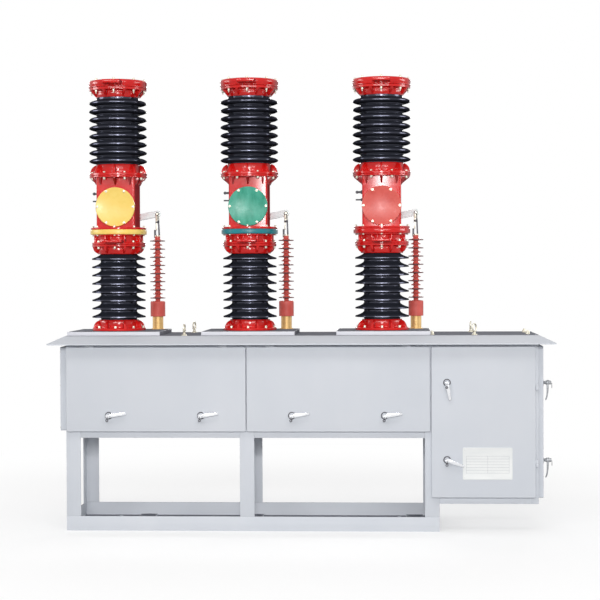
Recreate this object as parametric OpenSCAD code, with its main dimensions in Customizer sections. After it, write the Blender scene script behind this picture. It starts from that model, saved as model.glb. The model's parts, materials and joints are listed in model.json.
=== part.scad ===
// Outdoor three-pole vacuum circuit breaker on an angle-iron stand.
// +Z is up and -Y is the front, with the doors and the phase covers.
// The origin is on the ground, at the centre of the stand and of its anchor holes.

/* [Stand] */
// Distance from the left pole's axis to the stand's left end
left_reach = 235; // [190:1:280]
// Distance from the right pole's axis to the stand's right end
right_reach = 293; // [260:1:360]
// Depth of the stand from front to back
stand_d = 560; // [466:1:700]
// Leg width of the angle iron
angle_w = 75; // [60:1:90]
// Thickness of the angle iron
angle_t = 6; // [4:1:10]
// Height of the beam cabinet's underside
beam_z = 481; // [380:1:700]
// Distance between anchor holes along the stand
anchor_x = 1520; // [1260:1:1600]
// Diameter of the anchor holes
anchor_d = 22; // [14:1:26]
// Width of the flat cross strips on the ground frame
strip_w = 92; // [60:1:120]

/* [Cabinet] */
// Height of the beam cabinet, underside to the roof's flat top
beam_h = 527; // [440:1:700]
// Thickness of the cabinet's sheet steel
sheet_t = 3; // [2:0.5:5]
// Length of the mechanism box beyond the stand
box_l = 505; // [400:1:700]
// How far the mechanism box hangs below the beam cabinet
box_drop = 337; // [250:1:360]
// How far the eaves stand out past the cabinet
eave_out = 80; // [50:1:120]
// Fall of the eaves from the flat top to the lip
eave_drop = 38; // [25:1:60]
// Height of the upright lip at the eaves' edge
lip_h = 7; // [4:1:15]
// Thickness of the roof sheet
roof_t = 4; // [3:0.5:6]

/* [Doors and covers] */
// Depth of the front covers and of the mechanism door
cover_t = 25; // [20:1:35]
// Depth of the side door
side_t = 28; // [24:1:40]
// Depth of the left end cover
end_cover_t = 38; // [30:1:50]
// Gap between a closed door and the frame behind it
seal_gap = 0.4; // [0.3:0.1:2]
// Gap between the two front covers
cover_gap = 5; // [4:0.5:10]
// Gap between the right front cover and the mechanism door
door_gap = 7; // [5:0.5:10]
// Corner radius of doors and covers
cover_r = 8; // [3:1:20]
// Length of an L-handle's lever
lever_l = 92; // [60:1:120]
// Radius of a handle's spindle
spindle_r = 8; // [5:0.5:10]
// Radius of the hinge barrels
barrel_r = 8; // [6:0.5:9]
// Radius of the hinge pins
pin_r = 3; // [2:0.5:4]

/* [Poles] */
// Distance between the axes of neighbouring poles
phase_pitch = 700; // [580:1:840]
// Thickness of the mounting plate under each pole
plate_t = 20; // [12:1:30]
// Core radius of the lower insulator
lower_core_r = 96; // [80:1:105]
// Shed radius of the lower insulator
lower_shed_r = 142; // [125:1:155]
// Height of the lower insulator between its flange faces
lower_h = 448; // [370:1:560]
// Core radius of the upper insulator
upper_core_r = 110; // [95:1:118]
// Shed radius of the upper insulator
upper_shed_r = 154; // [138:1:165]
// Height of the upper insulator between its flange faces
upper_h = 465; // [390:1:560]
// Number of sheds on each insulator
sheds = 8; // [5:1:10]
// Height of the terminal spool
spool_h = 60; // [50:1:80]
// Height of the coloured phase ring
ring_h = 31; // [20:1:40]
// Width across the crank housing
housing_w = 207; // [172:1:248]
// Height of the crank housing with its flanges
housing_h = 280; // [250:1:336]
// Height of the top cap
cap_h = 44; // [35:1:60]

/* [Terminals] */
// Width of the upper terminal pad
upper_pad_w = 87; // [80:1:105]
// Width of the lower terminal pad
lower_pad_w = 97; // [80:1:120]
// Reach of the upper terminal pad past the cap
upper_pad_reach = 86; // [74:1:120]
// Reach of the lower terminal pad past the spool's flange
lower_pad_reach = 80; // [70:1:110]
// Thickness of the upper terminal pad
upper_pad_t = 18; // [12:1:24]
// Thickness of the lower terminal pad
lower_pad_t = 12; // [10:1:16]
// Distance between terminal holes
pad_pitch = 45; // [36:1:50]
// Diameter of the terminal holes
pad_hole_d = 14; // [10:1:18]

/* [Drive] */
// Distance of the pull rod beside the pole's axis
rod_x = 181; // [155:1:217]
// Rise of the crank arm at rest in degrees
arm_rise = 11; // [8:1:14]
// Height of the crank arm's flat bar
arm_h = 35; // [26:1:38]
// Thickness of the crank arm's flat bar
arm_t = 10; // [8:1:12]
// Radius of the crank shaft
shaft_r = 14; // [10:1:18]
// Stroke of the pull rod
stroke = 64; // [50:1:76]
// Radius of the rod's steel stem
stem_r = 13; // [10:1:15]
// Outer radius of the guide tube
tube_r = 29; // [24:1:32]
// Radius of the boot over the guide tube
boot_r = 40; // [37:1:45]

/* [Hidden] */
$fn = 48;

steel_grey = [0.80, 0.82, 0.85];
casting_red = [0.78, 0.10, 0.12];
shed_black = [0.07, 0.07, 0.08];
rod_red = [0.72, 0.28, 0.26];
bright_metal = [0.85, 0.85, 0.86];
brass_yellow = [0.85, 0.68, 0.38];
phase_colours = [[0.98, 0.80, 0.25], [0.20, 0.62, 0.52], [0.93, 0.52, 0.50]];
ring_colours = [[0.95, 0.75, 0.20], [0.10, 0.50, 0.52], [0.82, 0.14, 0.14]];

// Planes of the stand and of the cabinet
stand_l = left_reach + 2 * phase_pitch + right_reach;
x_left = -stand_l / 2;
x_right = stand_l / 2;
y_front = -stand_d / 2;
y_rear = stand_d / 2;
inner_y = stand_d / 2 - angle_w;
x_box = x_right + box_l;
box_z = beam_z - box_drop;
roof_z = beam_z + beam_h;
post_top = roof_z - roof_t;
lip_z = roof_z - eave_drop - lip_h;
// The roof's flat reaches this far past the frame, so the slope starts clear of it
roof_margin = 4;
// Each eave ends this far short of the mitre line at its corners
mitre_gap = 0.6;
flat_x = [x_left - roof_margin, x_box + roof_margin];
flat_y = y_rear + roof_margin;
// The roof's corners in turn, as low or high in X and in Y
corner_signs = [[0, 0], [1, 0], [1, 1], [0, 1]];
// The rails of the left end stop this far short of their neighbours
end_rail_gap = 5;

// The middle posts stand a little left of the stand's centre
middle_post_x = -25;
bays = [
    [x_left + angle_w, middle_post_x - angle_w / 2],
    [middle_post_x + angle_w / 2, x_right - angle_w]
];
strip_xs = [
    x_left + 355, middle_post_x, x_right - angle_w - strip_w / 2 - 2
];
strip_t = angle_t;
anchor_y = stand_d / 2 - angle_w / 2 - angle_t / 2;

// Doors and covers, from just under the lip down over the rails
cover_top = lip_z - 13;
cover_sill = 34;
cover_bottom = beam_z + cover_sill;
cover_seam_x = middle_post_x - 1.5;
cover_end_inset = [5, 48];
cover_x = [
    [x_left + cover_end_inset[0], cover_seam_x - cover_gap / 2],
    [cover_seam_x + cover_gap / 2, x_right - cover_end_inset[1]]
];
door_x0 = cover_x[1][1] + door_gap;
door_x1 = x_box - 17;
door_z0 = box_z + cover_sill;
box_stile = 40;
box_return = 60;
side_y = stand_d / 2 - 40;
side_z0 = box_z + 26;
header_h = 64;
sill_h = 46;
door_face_y = y_front - seal_gap - cover_t;
side_face_x = x_box + seal_gap + side_t;
spindle_play = 0.05;
pin_play = 0.05;

// Hinges: barrels beside the doors and under the lip
barrel_half = 19;
door_hinge_x = door_x1 + barrel_r + 1;
door_hinge_y = y_front - seal_gap - barrel_r - 3.6;
side_hinge_x = x_box + barrel_r + 4;
side_hinge_y = side_y + barrel_r + 1;
hinge_zs = [door_z0 + 175, cover_top - 202];
knuckle_gap = 0.3;
cover_knuckle_gap = 0.5;
cover_barrel_r = 5;
cover_pin_r = 2;
cover_hinge_y = door_face_y + 2;
cover_hinge_z = cover_top + cover_barrel_r + 1;
cover_hinge_half = 22;
cover_hinge_inset = 120;

// Handles: place of each spindle, and the lever's shape
cover_handle_z = cover_bottom + 83;
cover_handle_inset = [221, 232];
cover_handle_xs = [
    cover_x[0][0] + cover_handle_inset[0], cover_x[0][1] - cover_handle_inset[1],
    cover_x[1][0] + cover_handle_inset[1], cover_x[1][1] - cover_handle_inset[1]
];
door_handle_x = door_x0 + 79;
door_handle_zs = [door_z0 + 194, cover_top - 183];
side_handle_y = -side_y + 50;
side_handle_zs = [side_z0 + 190, cover_top - 190];
rosette_r = 17;
rosette_t = 4;
lever_t = 10;
lever_root = 11;
lever_tip_r = 7;
grip_r = spindle_r + 5;
grip_y = rosette_t + 14;
// The grip's head stands this far past the lever's front face
grip_head = 13;
lever_rest = -7;
door_lever_rests = [20, 80];
side_lever_rest = 88;

// The bare plate on the mechanism door, from the door's low left corner
nameplate_at = [285, 175];
nameplate_size = [253, 164, 2];
nameplate_r = 6;

// Levels of a pole, from the mounting plate up
plate_top = roof_z + plate_t;
foot_disc_t = 14;
lower_z0 = plate_top;
lower_z1 = lower_z0 + lower_h;
spool_flange_t = 17;
spool_top_t = 6;
ring_z = lower_z1 + spool_h;
housing_z = ring_z + ring_h;
housing_flange_t = 8;
housing_top_t = 10;
upper_z0 = housing_z + housing_h;
upper_z1 = upper_z0 + upper_h;
lower_flange_r = lower_shed_r - 1;
upper_flange_r = upper_shed_r - 2;
collar_wall = 6;
collar_play = 0.3;
// Height of each collar over its insulator's end
foot_collar_h = 58;
lower_collar_h = 43;
upper_foot_collar_h = 64;
upper_collar_h = 51;
// Distance of the outermost sheds from the insulator's two ends
shed_first = 77;
shed_last = 75.5;
shed_slope = 20;
housing_r = 28;
// The ring and the housing's foot reach past the housing's round corners
ring_r = housing_w / sqrt(2) + 2.1;
cover_disc_r = housing_w / 2;
cover_disc_z = housing_z + cover_disc_r + 10.5;
cover_boss_t = 5;
// The gussets take most of the height between the round cover and the top flange
gusset_h = 0.84 * (upper_z0 - housing_top_t - cover_disc_z - cover_disc_r);
gusset_in = 60;
// Each face has a middle gusset and one on either side of it
gusset_side = 0.385 * housing_w;
phase_cover_t = 9;
// Depth of the small side fittings below the housing's top
fitting_drops = [98, 138];
// Distance of the outer terminal holes from the pad's edge
pad_edge = 14;
// The upper pad lies this far below the cap's top
pad_step = 17;
pole_xs = [for (i = [0:2]) x_left + left_reach + i * phase_pitch];

// Crank arm and pull rod
// Gap between the housing's shaft boss and the arm
arm_gap = 31.5;
// Length of the bearing boss behind the housing
boss_t = 60;
rod_y = housing_w / 2 + boss_t + arm_gap + arm_t / 2;
hub_z = housing_z + 51;
arm_l = rod_x / cos(arm_rise);
arm_pin_z = hub_z + arm_l * sin(arm_rise);
hub_r = 26;
hub_gap = 0.3;
link_pin_r = 6;
link_play = 0.6;
// The pin's distance from the hub shrinks by this much at mid stroke
slot_give = arm_l - rod_x + 0.4;
cheek_t = 6;
cheek_gap = 0.8;
cheek_w = 24;
cheek_y = arm_t / 2 + cheek_gap + cheek_t;
pin_head = 6;
fork_h = 38;
fork_t = 8;
link_h = 92;
// The boot laps over the tube and stays clear of the plate at full stroke
boot_lap = 3;
tube_h = stroke + boot_lap + 5;
tube_z1 = plate_top + tube_h;
rod_play = 0.05;
boot_play = 1.6;
boot_z0 = tube_z1 - boot_lap;
boot_depth = stroke + 8;
boot_h = boot_depth + 11;
boot_cone = 14;
rod_sheds = 8;
rod_core_r = 15;
rod_shed_r = 41;
rod_small_r = 25.5;
rod_body_z0 = boot_z0 + boot_h;
rod_body_z1 = arm_pin_z - fork_h - link_h;
rod_first_shed = 17;
rod_last_shed = 25;
rod_pitch = (rod_body_z1 - rod_body_z0 - rod_first_shed - rod_last_shed) / (rod_sheds - 1);
stem_drop = tube_h - 10;
stem_hole_r = stem_r + 3;

// Mounting plates: from the stand's left end to past the guide tube
plate_left = left_reach;
plate_right = rod_x + tube_r + 40;
plate_y = [y_front + 35, y_rear - 35];

// Lifting eyes: beside the middle pole's plate and over the mechanism box
plate_space = phase_pitch - plate_left - plate_right;
eye_xs = [pole_xs[1] - plate_left - 0.4 * plate_space, x_box - 324];
eye_ys = [y_front + 30, y_rear - 75];
eye_foot_r = 17;
eye_foot_t = 8;
eye_ring_r = 20;
eye_wire_r = 6;
eye_stem_h = 20;
eye_turn = 72;

// ---------------------------------------------------------------- shapes

// A box from one corner to the opposite one
module block(a, b) {
    translate(a) cube(b - a);
}

// A flat outline with round corners, centred
module round_rect(w, h, r) {
    square([w - 2 * r, h], center = true);
    square([w, h - 2 * r], center = true);
    for (x = [-1, 1], y = [-1, 1])
        translate([x * (w / 2 - r), y * (h / 2 - r)]) circle(r);
}

// A pressed sheet cover that stands in the XZ plane, its open back at y = 0
// and its face towards -Y, with its low left corner at the origin
module pressed_cover(w, h, t) {
    translate([w / 2, 0, h / 2]) rotate([90, 0, 0]) difference() {
        linear_extrude(t) round_rect(w, h, cover_r);
        translate([0, 0, -1]) linear_extrude(t - sheet_t + 1)
            round_rect(w - 2 * sheet_t, h - 2 * sheet_t, cover_r - sheet_t / 2);
    }
}

// A round rosette on the face of a cover, pierced for a spindle
module rosette_drill(x, z, face_y, depth) {
    translate([x, face_y + depth, z]) rotate([90, 0, 0])
        cylinder(h = depth + rosette_t + 5, r = spindle_r + spindle_play);
}

module rosette(x, z, face_y) {
    translate([x, face_y, z]) rotate([90, 0, 0]) cylinder(h = rosette_t, r = rosette_r);
}

// An L-handle: a spindle along -Y through the cover and a lever along +X,
// turned down by the given angle
module lever_handle(down) {
    spindle_in = sheet_t + 6;
    lever_end = lever_l - lever_tip_r - 1;
    rotate([0, down, 0]) {
        translate([0, spindle_in, 0]) rotate([90, 0, 0])
            cylinder(h = spindle_in + grip_y + 2, r = spindle_r);
        translate([0, -grip_y, 0]) rotate([90, 0, 0]) cylinder(h = lever_t + 3 + grip_head, r = grip_r);
        translate([0, -grip_y - 3, 0]) rotate([90, 0, 0]) linear_extrude(lever_t) {
            polygon([[0, -lever_root], [lever_end, -lever_tip_r],
                     [lever_end, lever_tip_r], [0, lever_root]]);
            translate([lever_end, 0]) circle(lever_tip_r);
        }
    }
}

// One moving half of a barrel hinge: upright barrel with a bore for the pin
module upper_knuckle() {
    difference() {
        translate([0, 0, knuckle_gap]) cylinder(h = barrel_half, r = barrel_r);
        translate([0, 0, -1]) cylinder(h = barrel_half + 3, r = pin_r + pin_play);
    }
}

// One fixed half of a barrel hinge with its pin standing up
module lower_knuckle() {
    translate([0, 0, -barrel_half]) cylinder(h = barrel_half, r = barrel_r);
    translate([0, 0, -1]) cylinder(h = barrel_half + 1, r = pin_r);
}

// Profile of a shed: a thin tip, a sloping top and a nearly flat underside
function shed_points(core, tip, z, slope) = [
    [core, z - 5], [core + 6, z - 3.5], [tip - 2, z - 2.2], [tip, z - 0.6], [tip - 0.6, z + 1],
    [core + 8, z + 1 + (tip - core - 8) * tan(slope)],
    [core + 2, z + 5 + (tip - core - 8) * tan(slope)],
    [core, z + 10 + (tip - core - 8) * tan(slope)]
];

// An insulator body between two flange discs that stand h apart
module shed_body(core, tip, h) {
    pitch = (h - shed_first - shed_last) / (sheds - 1);
    rotate_extrude($fn = 96) polygon(concat(
        [[0, foot_disc_t], [core, foot_disc_t]],
        [for (i = [0:sheds - 1]) each shed_points(core, tip, shed_first + i * pitch, shed_slope)],
        [[core, h - foot_disc_t], [0, h - foot_disc_t]]
    ));
}

// A cast end flange: a disc at the foot, a bored collar above it and eight ribs
module end_flange(disc_r, disc_t, bore_r, collar_r, h, turn) {
    rotate_extrude($fn = 96) polygon([
        [0, 0], [disc_r, 0], [disc_r, disc_t], [collar_r, disc_t], [collar_r, h],
        [bore_r, h], [bore_r, disc_t], [0, disc_t]
    ]);
    rib_in = (bore_r + collar_r) / 2;
    for (a = [0:45:315]) rotate(a + turn) translate([0, 4, 0]) rotate([90, 0, 0])
        linear_extrude(8) polygon([
            [rib_in, disc_t / 2], [disc_r - 6, disc_t / 2], [disc_r - 6, disc_t + 2],
            [collar_r + 3, h - 4], [rib_in, h - 4]
        ]);
}

// Four terminal holes at the front end of a pad whose edge is at the given y
module pad_holes(pad_y) {
    for (sx = [-1, 1], row = [0, 1])
        translate([sx * pad_pitch / 2, pad_y + pad_edge + row * pad_pitch, -50])
            cylinder(h = 100, r = pad_hole_d / 2);
}

// ---------------------------------------------------------------- stand

module base_long_rails() color(steel_grey) {
    for (side = [-1, 1]) difference() {
        union() {
            block([x_left, side < 0 ? y_front : y_rear - angle_w, 0],
                  [x_right, side < 0 ? y_front + angle_w : y_rear, angle_t]);
            block([x_left, side < 0 ? y_front : y_rear - angle_t, 0],
                  [x_right, side < 0 ? y_front + angle_t : y_rear, angle_w]);
        }
        for (x = [-anchor_x / 2, anchor_x / 2])
            translate([x, side * anchor_y, -1]) cylinder(h = angle_t + 2, r = anchor_d / 2);
    }
}

module base_cross_members() color(steel_grey) {
    for (side = [-1, 1]) {
        x0 = side < 0 ? x_left : x_right - angle_w;
        xw = side < 0 ? x_left : x_right - angle_t;
        block([x0, -inner_y, 0], [x0 + angle_w, inner_y, angle_t]);
        block([xw, y_front + angle_t, angle_t], [xw + angle_t, y_rear - angle_t, angle_w]);
        block([xw, -inner_y, 0], [xw + angle_t, inner_y, angle_w]);
    }
    for (x = strip_xs)
        block([x - strip_w / 2, y_front + angle_t, angle_t],
              [x + strip_w / 2, y_rear - angle_t, angle_t + strip_t]);
}

// One angle-iron post with its corner at the given place; sx and sy give the
// directions of its two legs
module angle_post(x, y, sx, sy, z0, z1, leg, side_leg, t) {
    translate([x, y, z0]) {
        block([min(0, sx * leg), min(0, sy * t), 0], [max(0, sx * leg), max(0, sy * t), z1 - z0]);
        block([min(0, sx * t), min(0, sy * side_leg), 0],
              [max(0, sx * t), max(0, sy * side_leg), z1 - z0]);
    }
}

module posts(y, sy) {
    angle_post(x_left, y, 1, sy, angle_w, post_top, angle_w, angle_w, angle_t);
    angle_post(middle_post_x - angle_w / 2, y, 1, sy, angle_w, post_top,
               angle_w, angle_w, angle_t);
    angle_post(x_right, y, -1, sy, angle_w, post_top, angle_w, angle_w, angle_t);
}

module front_posts() color(steel_grey) posts(y_front, 1);

module rear_posts() color(steel_grey) posts(y_rear, -1);

// ---------------------------------------------------------------- cabinet

// Angle rails between the posts, under the covers
module cabinet_bottom_rails() color(steel_grey) {
    for (bay = bays, side = [-1, 1]) {
        y0 = side < 0 ? y_front : y_rear - angle_t;
        yf = side < 0 ? y_front : y_rear - angle_w;
        block([bay[0], y0, beam_z], [bay[1], y0 + angle_t, beam_z + angle_w]);
        block([bay[0], yf, beam_z], [bay[1], yf + angle_w, beam_z + angle_t]);
    }
    block([x_left, -inner_y, beam_z], [x_left + angle_t, inner_y, beam_z + angle_w]);
    block([x_left, end_rail_gap - inner_y, beam_z],
          [x_left + angle_w - end_rail_gap, inner_y - end_rail_gap, beam_z + angle_t]);
}

// Flat rails between the posts, under the roof
module cabinet_top_rails() color(steel_grey) {
    for (bay = bays, y0 = [y_front, y_rear - angle_t])
        block([bay[0], y0, post_top - angle_w], [bay[1], y0 + angle_t, post_top]);
    block([x_left, -inner_y, post_top - angle_w], [x_left + angle_t, inner_y, post_top]);
}

module cabinet_floor() color(steel_grey) difference() {
    block([x_left + angle_t, y_front + angle_t, beam_z + angle_t],
          [x_right - angle_t, y_rear - angle_t, beam_z + angle_t + sheet_t]);
    for (side = [-1, 1])
        translate([middle_post_x - angle_w / 2, side * (stand_d - angle_w) / 2, beam_z])
            cube([2 * (angle_t + 1), angle_w + 2, 100], center = true);
}

module rear_covers() color(steel_grey)
    for (span = cover_x)
        translate([span[1], y_rear, cover_bottom]) rotate(180)
            pressed_cover(span[1] - span[0], cover_top - cover_bottom, cover_t);

module left_end_cover() color(steel_grey)
    translate([x_left, side_y, cover_bottom]) rotate(-90)
        pressed_cover(2 * side_y, cover_top - cover_bottom, end_cover_t);

module box_corner_posts() color(steel_grey) {
    angle_post(x_box, y_front, -1, 1, box_z + sheet_t, post_top, box_stile, box_return, sheet_t);
    angle_post(x_box, y_rear, -1, -1, box_z + sheet_t, post_top, box_stile, box_return, sheet_t);
}

// Sills and headers of the mechanism box's front and right side
module box_rails() color(steel_grey) {
    for (z = [[box_z + sheet_t, box_z + sill_h], [post_top - header_h, post_top]]) {
        block([x_right + sheet_t, y_front, z[0]], [x_box - box_stile, y_front + sheet_t, z[1]]);
        block([x_box - sheet_t, y_front + box_return, z[0]], [x_box, y_rear - box_return, z[1]]);
    }
}

module box_left_wall() color(steel_grey)
    block([x_right, y_front, box_z + sheet_t],
          [x_right + sheet_t, y_rear, beam_z + angle_t + sheet_t]);

module box_back_wall() color(steel_grey)
    block([x_right, y_rear, box_z + sheet_t], [x_box, y_rear + sheet_t, post_top]);

module box_floor() color(steel_grey)
    block([x_right, y_front, box_z], [x_box, y_rear + sheet_t, box_z + sheet_t]);

// A roof block with sloping eaves on all four sides: two crossing prisms
module roof_block(inset, fall, low) {
    edge_z = roof_z - eave_drop - fall + inset * eave_drop / eave_out;
    reach = eave_out - inset;
    intersection() {
        translate([0, flat_y + reach, 0]) rotate([90, 0, 0])
            linear_extrude(2 * (flat_y + reach))
                roof_cut(-flat_x[0], flat_x[1], inset, fall, edge_z, low);
        translate([flat_x[0] - reach, 0, 0]) rotate([90, 0, 90])
            linear_extrude(flat_x[1] - flat_x[0] + 2 * reach)
                roof_cut(flat_y, flat_y, inset, fall, edge_z, low);
    }
}

// Outline of the roof, drawn in by inset at the lip and lowered by fall
module roof_cut(lo, hi, inset, fall, edge_z, low) {
    polygon([
        [-lo - eave_out + inset, low], [-lo - eave_out + inset, edge_z], [-lo, roof_z - fall],
        [hi, roof_z - fall], [hi + eave_out - inset, edge_z], [hi + eave_out - inset, low]
    ]);
}

// The flat of the roof, with a hole for each rod's stem
module roof_top() color(steel_grey) difference() {
    block([flat_x[0], -flat_y, roof_z - roof_t], [flat_x[1], flat_y, roof_z]);
    for (x = pole_xs)
        translate([x + rod_x, rod_y, roof_z - 20]) cylinder(h = 40, r = stem_hole_r);
}

// One eave, mitred against its neighbours along the lines from a to b and from c to d
module eave(a, b, c, d) intersection() {
    difference() {
        roof_block(0, 0, lip_z);
        roof_block(roof_t, roof_t, lip_z - 10);
    }
    translate([0, 0, lip_z]) linear_extrude(roof_z - lip_z) polygon([a, b, d, c]);
}

module roof_eaves() color(steel_grey) {
    inner = [for (p = corner_signs) [flat_x[p[0]], flat_y * (2 * p[1] - 1)]];
    outer = [for (p = corner_signs) [
        flat_x[p[0]] + eave_out * (2 * p[0] - 1), (flat_y + eave_out) * (2 * p[1] - 1)
    ]];
    for (i = [0:3]) {
        j = (i + 1) % 4;
        along = [[1, 0], [0, 1], [-1, 0], [0, -1]][i] * mitre_gap;
        eave(inner[i] + along, outer[i] + along, inner[j] - along, outer[j] - along);
    }
}

module pole_plates() color(steel_grey)
    for (x = pole_xs) difference() {
        block([x - plate_left, plate_y[0], roof_z], [x + plate_right, plate_y[1], plate_top]);
        translate([x + rod_x, rod_y, roof_z - 1]) cylinder(h = plate_t + 2, r = stem_hole_r);
    }

// Lifting eyebolts screwed down on the roof
module lifting_eyes() color(bright_metal)
    for (x = eye_xs, y = eye_ys) translate([x, y, roof_z]) {
        cylinder(h = eye_foot_t, r = eye_foot_r);
        cylinder(h = eye_stem_h, r = eye_wire_r + 2);
        translate([0, 0, eye_stem_h + eye_ring_r - 2]) rotate([90, 0, eye_turn])
            rotate_extrude() translate([eye_ring_r, 0]) circle(eye_wire_r);
    }

// Fixed halves of all hinges, with their pins
module door_hinges() color(bright_metal) {
    for (z = hinge_zs) {
        translate([door_hinge_x, door_hinge_y, z]) {
            lower_knuckle();
            block([-4, 0, -barrel_half], [4, y_front - door_hinge_y, 0]);
        }
        translate([side_hinge_x, side_hinge_y, z]) {
            lower_knuckle();
            block([x_box - side_hinge_x, -4, -barrel_half], [0, 4, 0]);
        }
    }
    for (span = cover_x, end = [0, 1])
        translate([span[end] + (1 - 2 * end) * cover_hinge_inset, cover_hinge_y, cover_hinge_z]) {
            rotate([0, -90, 0]) cylinder(h = cover_hinge_half, r = cover_barrel_r);
            translate([-1, 0, 0]) rotate([0, 90, 0])
                cylinder(h = cover_hinge_half, r = cover_pin_r);
            block([-cover_hinge_half, 0, -2], [0, y_front - cover_hinge_y, 2]);
        }
}

// ---------------------------------------------------------------- doors

// A front cover hung under the lip, with its two hinge halves and rosettes
module front_cover(i) color(steel_grey) {
    span = cover_x[i];
    spindles = [cover_handle_xs[2 * i], cover_handle_xs[2 * i + 1]];
    difference() {
        union() {
            translate([span[0], y_front - seal_gap, cover_bottom])
                pressed_cover(span[1] - span[0], cover_top - cover_bottom, cover_t);
            for (x = spindles) rosette(x, cover_handle_z, door_face_y);
        }
        for (x = spindles) rosette_drill(x, cover_handle_z, door_face_y, cover_t);
    }
    for (x = [span[0] + cover_hinge_inset, span[1] - cover_hinge_inset])
        translate([x, cover_hinge_y, cover_hinge_z]) difference() {
            union() {
                translate([cover_knuckle_gap, 0, 0]) rotate([0, 90, 0])
                    cylinder(h = cover_hinge_half, r = cover_barrel_r);
                block([cover_knuckle_gap, -2, -cover_barrel_r - 3],
                      [cover_hinge_half + cover_knuckle_gap, 3, 0]);
            }
            translate([-1, 0, 0]) rotate([0, 90, 0])
                cylinder(h = cover_hinge_half + 3, r = cover_pin_r + pin_play);
        }
}

module front_cover_left() front_cover(0);

module front_cover_right() front_cover(1);

module mechanism_door() color(steel_grey) {
    difference() {
        union() {
            translate([door_x0, y_front - seal_gap, door_z0])
                pressed_cover(door_x1 - door_x0, cover_top - door_z0, cover_t);
            for (z = door_handle_zs) rosette(door_handle_x, z, door_face_y);
        }
        for (z = door_handle_zs) rosette_drill(door_handle_x, z, door_face_y, cover_t);
    }
    for (z = hinge_zs) translate([door_hinge_x, door_hinge_y, z]) difference() {
        union() {
            upper_knuckle();
            block([-barrel_r - 2, -barrel_r, knuckle_gap], [0, -pin_r - 1, barrel_half]);
        }
        translate([0, 0, -1]) cylinder(h = barrel_half + 3, r = pin_r + pin_play);
    }
}

// The side door stands in its own frame turned to face +X
module side_door() color(steel_grey) {
    translate([x_box + seal_gap, 0, 0]) rotate(90) difference() {
        union() {
            translate([-side_y, 0, side_z0])
                pressed_cover(2 * side_y, cover_top - side_z0, side_t);
            for (z = side_handle_zs) rosette(side_handle_y, z, -side_t);
        }
        for (z = side_handle_zs) rosette_drill(side_handle_y, z, -side_t, side_t);
    }
    for (z = hinge_zs) translate([side_hinge_x, side_hinge_y, z]) difference() {
        union() {
            upper_knuckle();
            block([pin_r + 1, -barrel_r - 2, knuckle_gap], [barrel_r, 0, barrel_half]);
        }
        translate([0, 0, -1]) cylinder(h = barrel_half + 3, r = pin_r + pin_play);
    }
}

module nameplate() color(bright_metal)
    translate([door_x0 + nameplate_at[0], door_face_y, door_z0 + nameplate_at[1]])
        rotate([90, 0, 0]) linear_extrude(nameplate_size[2])
            round_rect(nameplate_size[0], nameplate_size[1], nameplate_r);

module cover_handle(i) color(bright_metal)
    translate([cover_handle_xs[i], door_face_y, cover_handle_z])
        lever_handle(lever_rest);

module door_handle(i) color(bright_metal)
    translate([door_handle_x, door_face_y, door_handle_zs[i]])
        lever_handle(door_lever_rests[i]);

module side_handle(i) color(bright_metal)
    translate([side_face_x, side_handle_y, side_handle_zs[i]]) rotate(90)
        lever_handle(side_lever_rest);

// ---------------------------------------------------------------- poles

module lower_insulators() color(shed_black)
    for (x = pole_xs) translate([x, 0, lower_z0])
        shed_body(lower_core_r, lower_shed_r, lower_h);

module upper_insulators() color(shed_black)
    for (x = pole_xs) translate([x, 0, upper_z0])
        shed_body(upper_core_r, upper_shed_r, upper_h);

module lower_insulator_flanges() color(casting_red)
    for (x = pole_xs) {
        translate([x, 0, lower_z0])
            end_flange(lower_flange_r, foot_disc_t, lower_core_r + collar_play,
                       lower_core_r + collar_play + 2 * collar_wall, foot_collar_h, 22.5);
        translate([x, 0, lower_z1]) mirror([0, 0, 1])
            end_flange(lower_flange_r, foot_disc_t, lower_core_r + collar_play,
                       lower_core_r + collar_play + 3 * collar_wall, lower_collar_h, 22.5);
    }

module upper_insulator_flanges() color(casting_red)
    for (x = pole_xs) {
        translate([x, 0, upper_z0])
            end_flange(upper_flange_r, foot_disc_t, upper_core_r + collar_play,
                       upper_core_r + collar_play + collar_wall, upper_foot_collar_h, 0);
        translate([x, 0, upper_z1]) mirror([0, 0, 1])
            end_flange(upper_flange_r, foot_disc_t, upper_core_r + collar_play,
                       upper_core_r + collar_play + collar_wall, upper_collar_h, 22.5);
    }

// A ribbed spool between two flanges, with the lower terminal pad in front
module terminal_spool() difference() {
    core_r = lower_flange_r - 25;
    top_r = core_r + 18;
    pad_y = -lower_flange_r - lower_pad_reach;
    pad_z = spool_flange_t + 2;
    union() {
        rotate_extrude($fn = 96) polygon([
            [0, 0], [lower_flange_r, 0], [lower_flange_r, spool_flange_t],
            [core_r, spool_flange_t], [core_r, spool_h - spool_top_t],
            [top_r, spool_h - spool_top_t], [top_r, spool_h], [0, spool_h]
        ]);
        for (a = [0:45:315]) rotate(a + 22.5)
            block([core_r - 8, -5, spool_flange_t - 4], [top_r - 4, 5, spool_h - 2]);
        block([-lower_pad_w / 2, pad_y, pad_z], [lower_pad_w / 2, 0, pad_z + lower_pad_t]);
    }
    pad_holes(pad_y);
}

module terminal_spools() color(casting_red)
    for (x = pole_xs) translate([x, 0, lower_z1]) terminal_spool();

module phase_ring(i) color(ring_colours[i])
    translate([pole_xs[i], 0, ring_z]) cylinder(h = ring_h, r = ring_r, $fn = 96);

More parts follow.
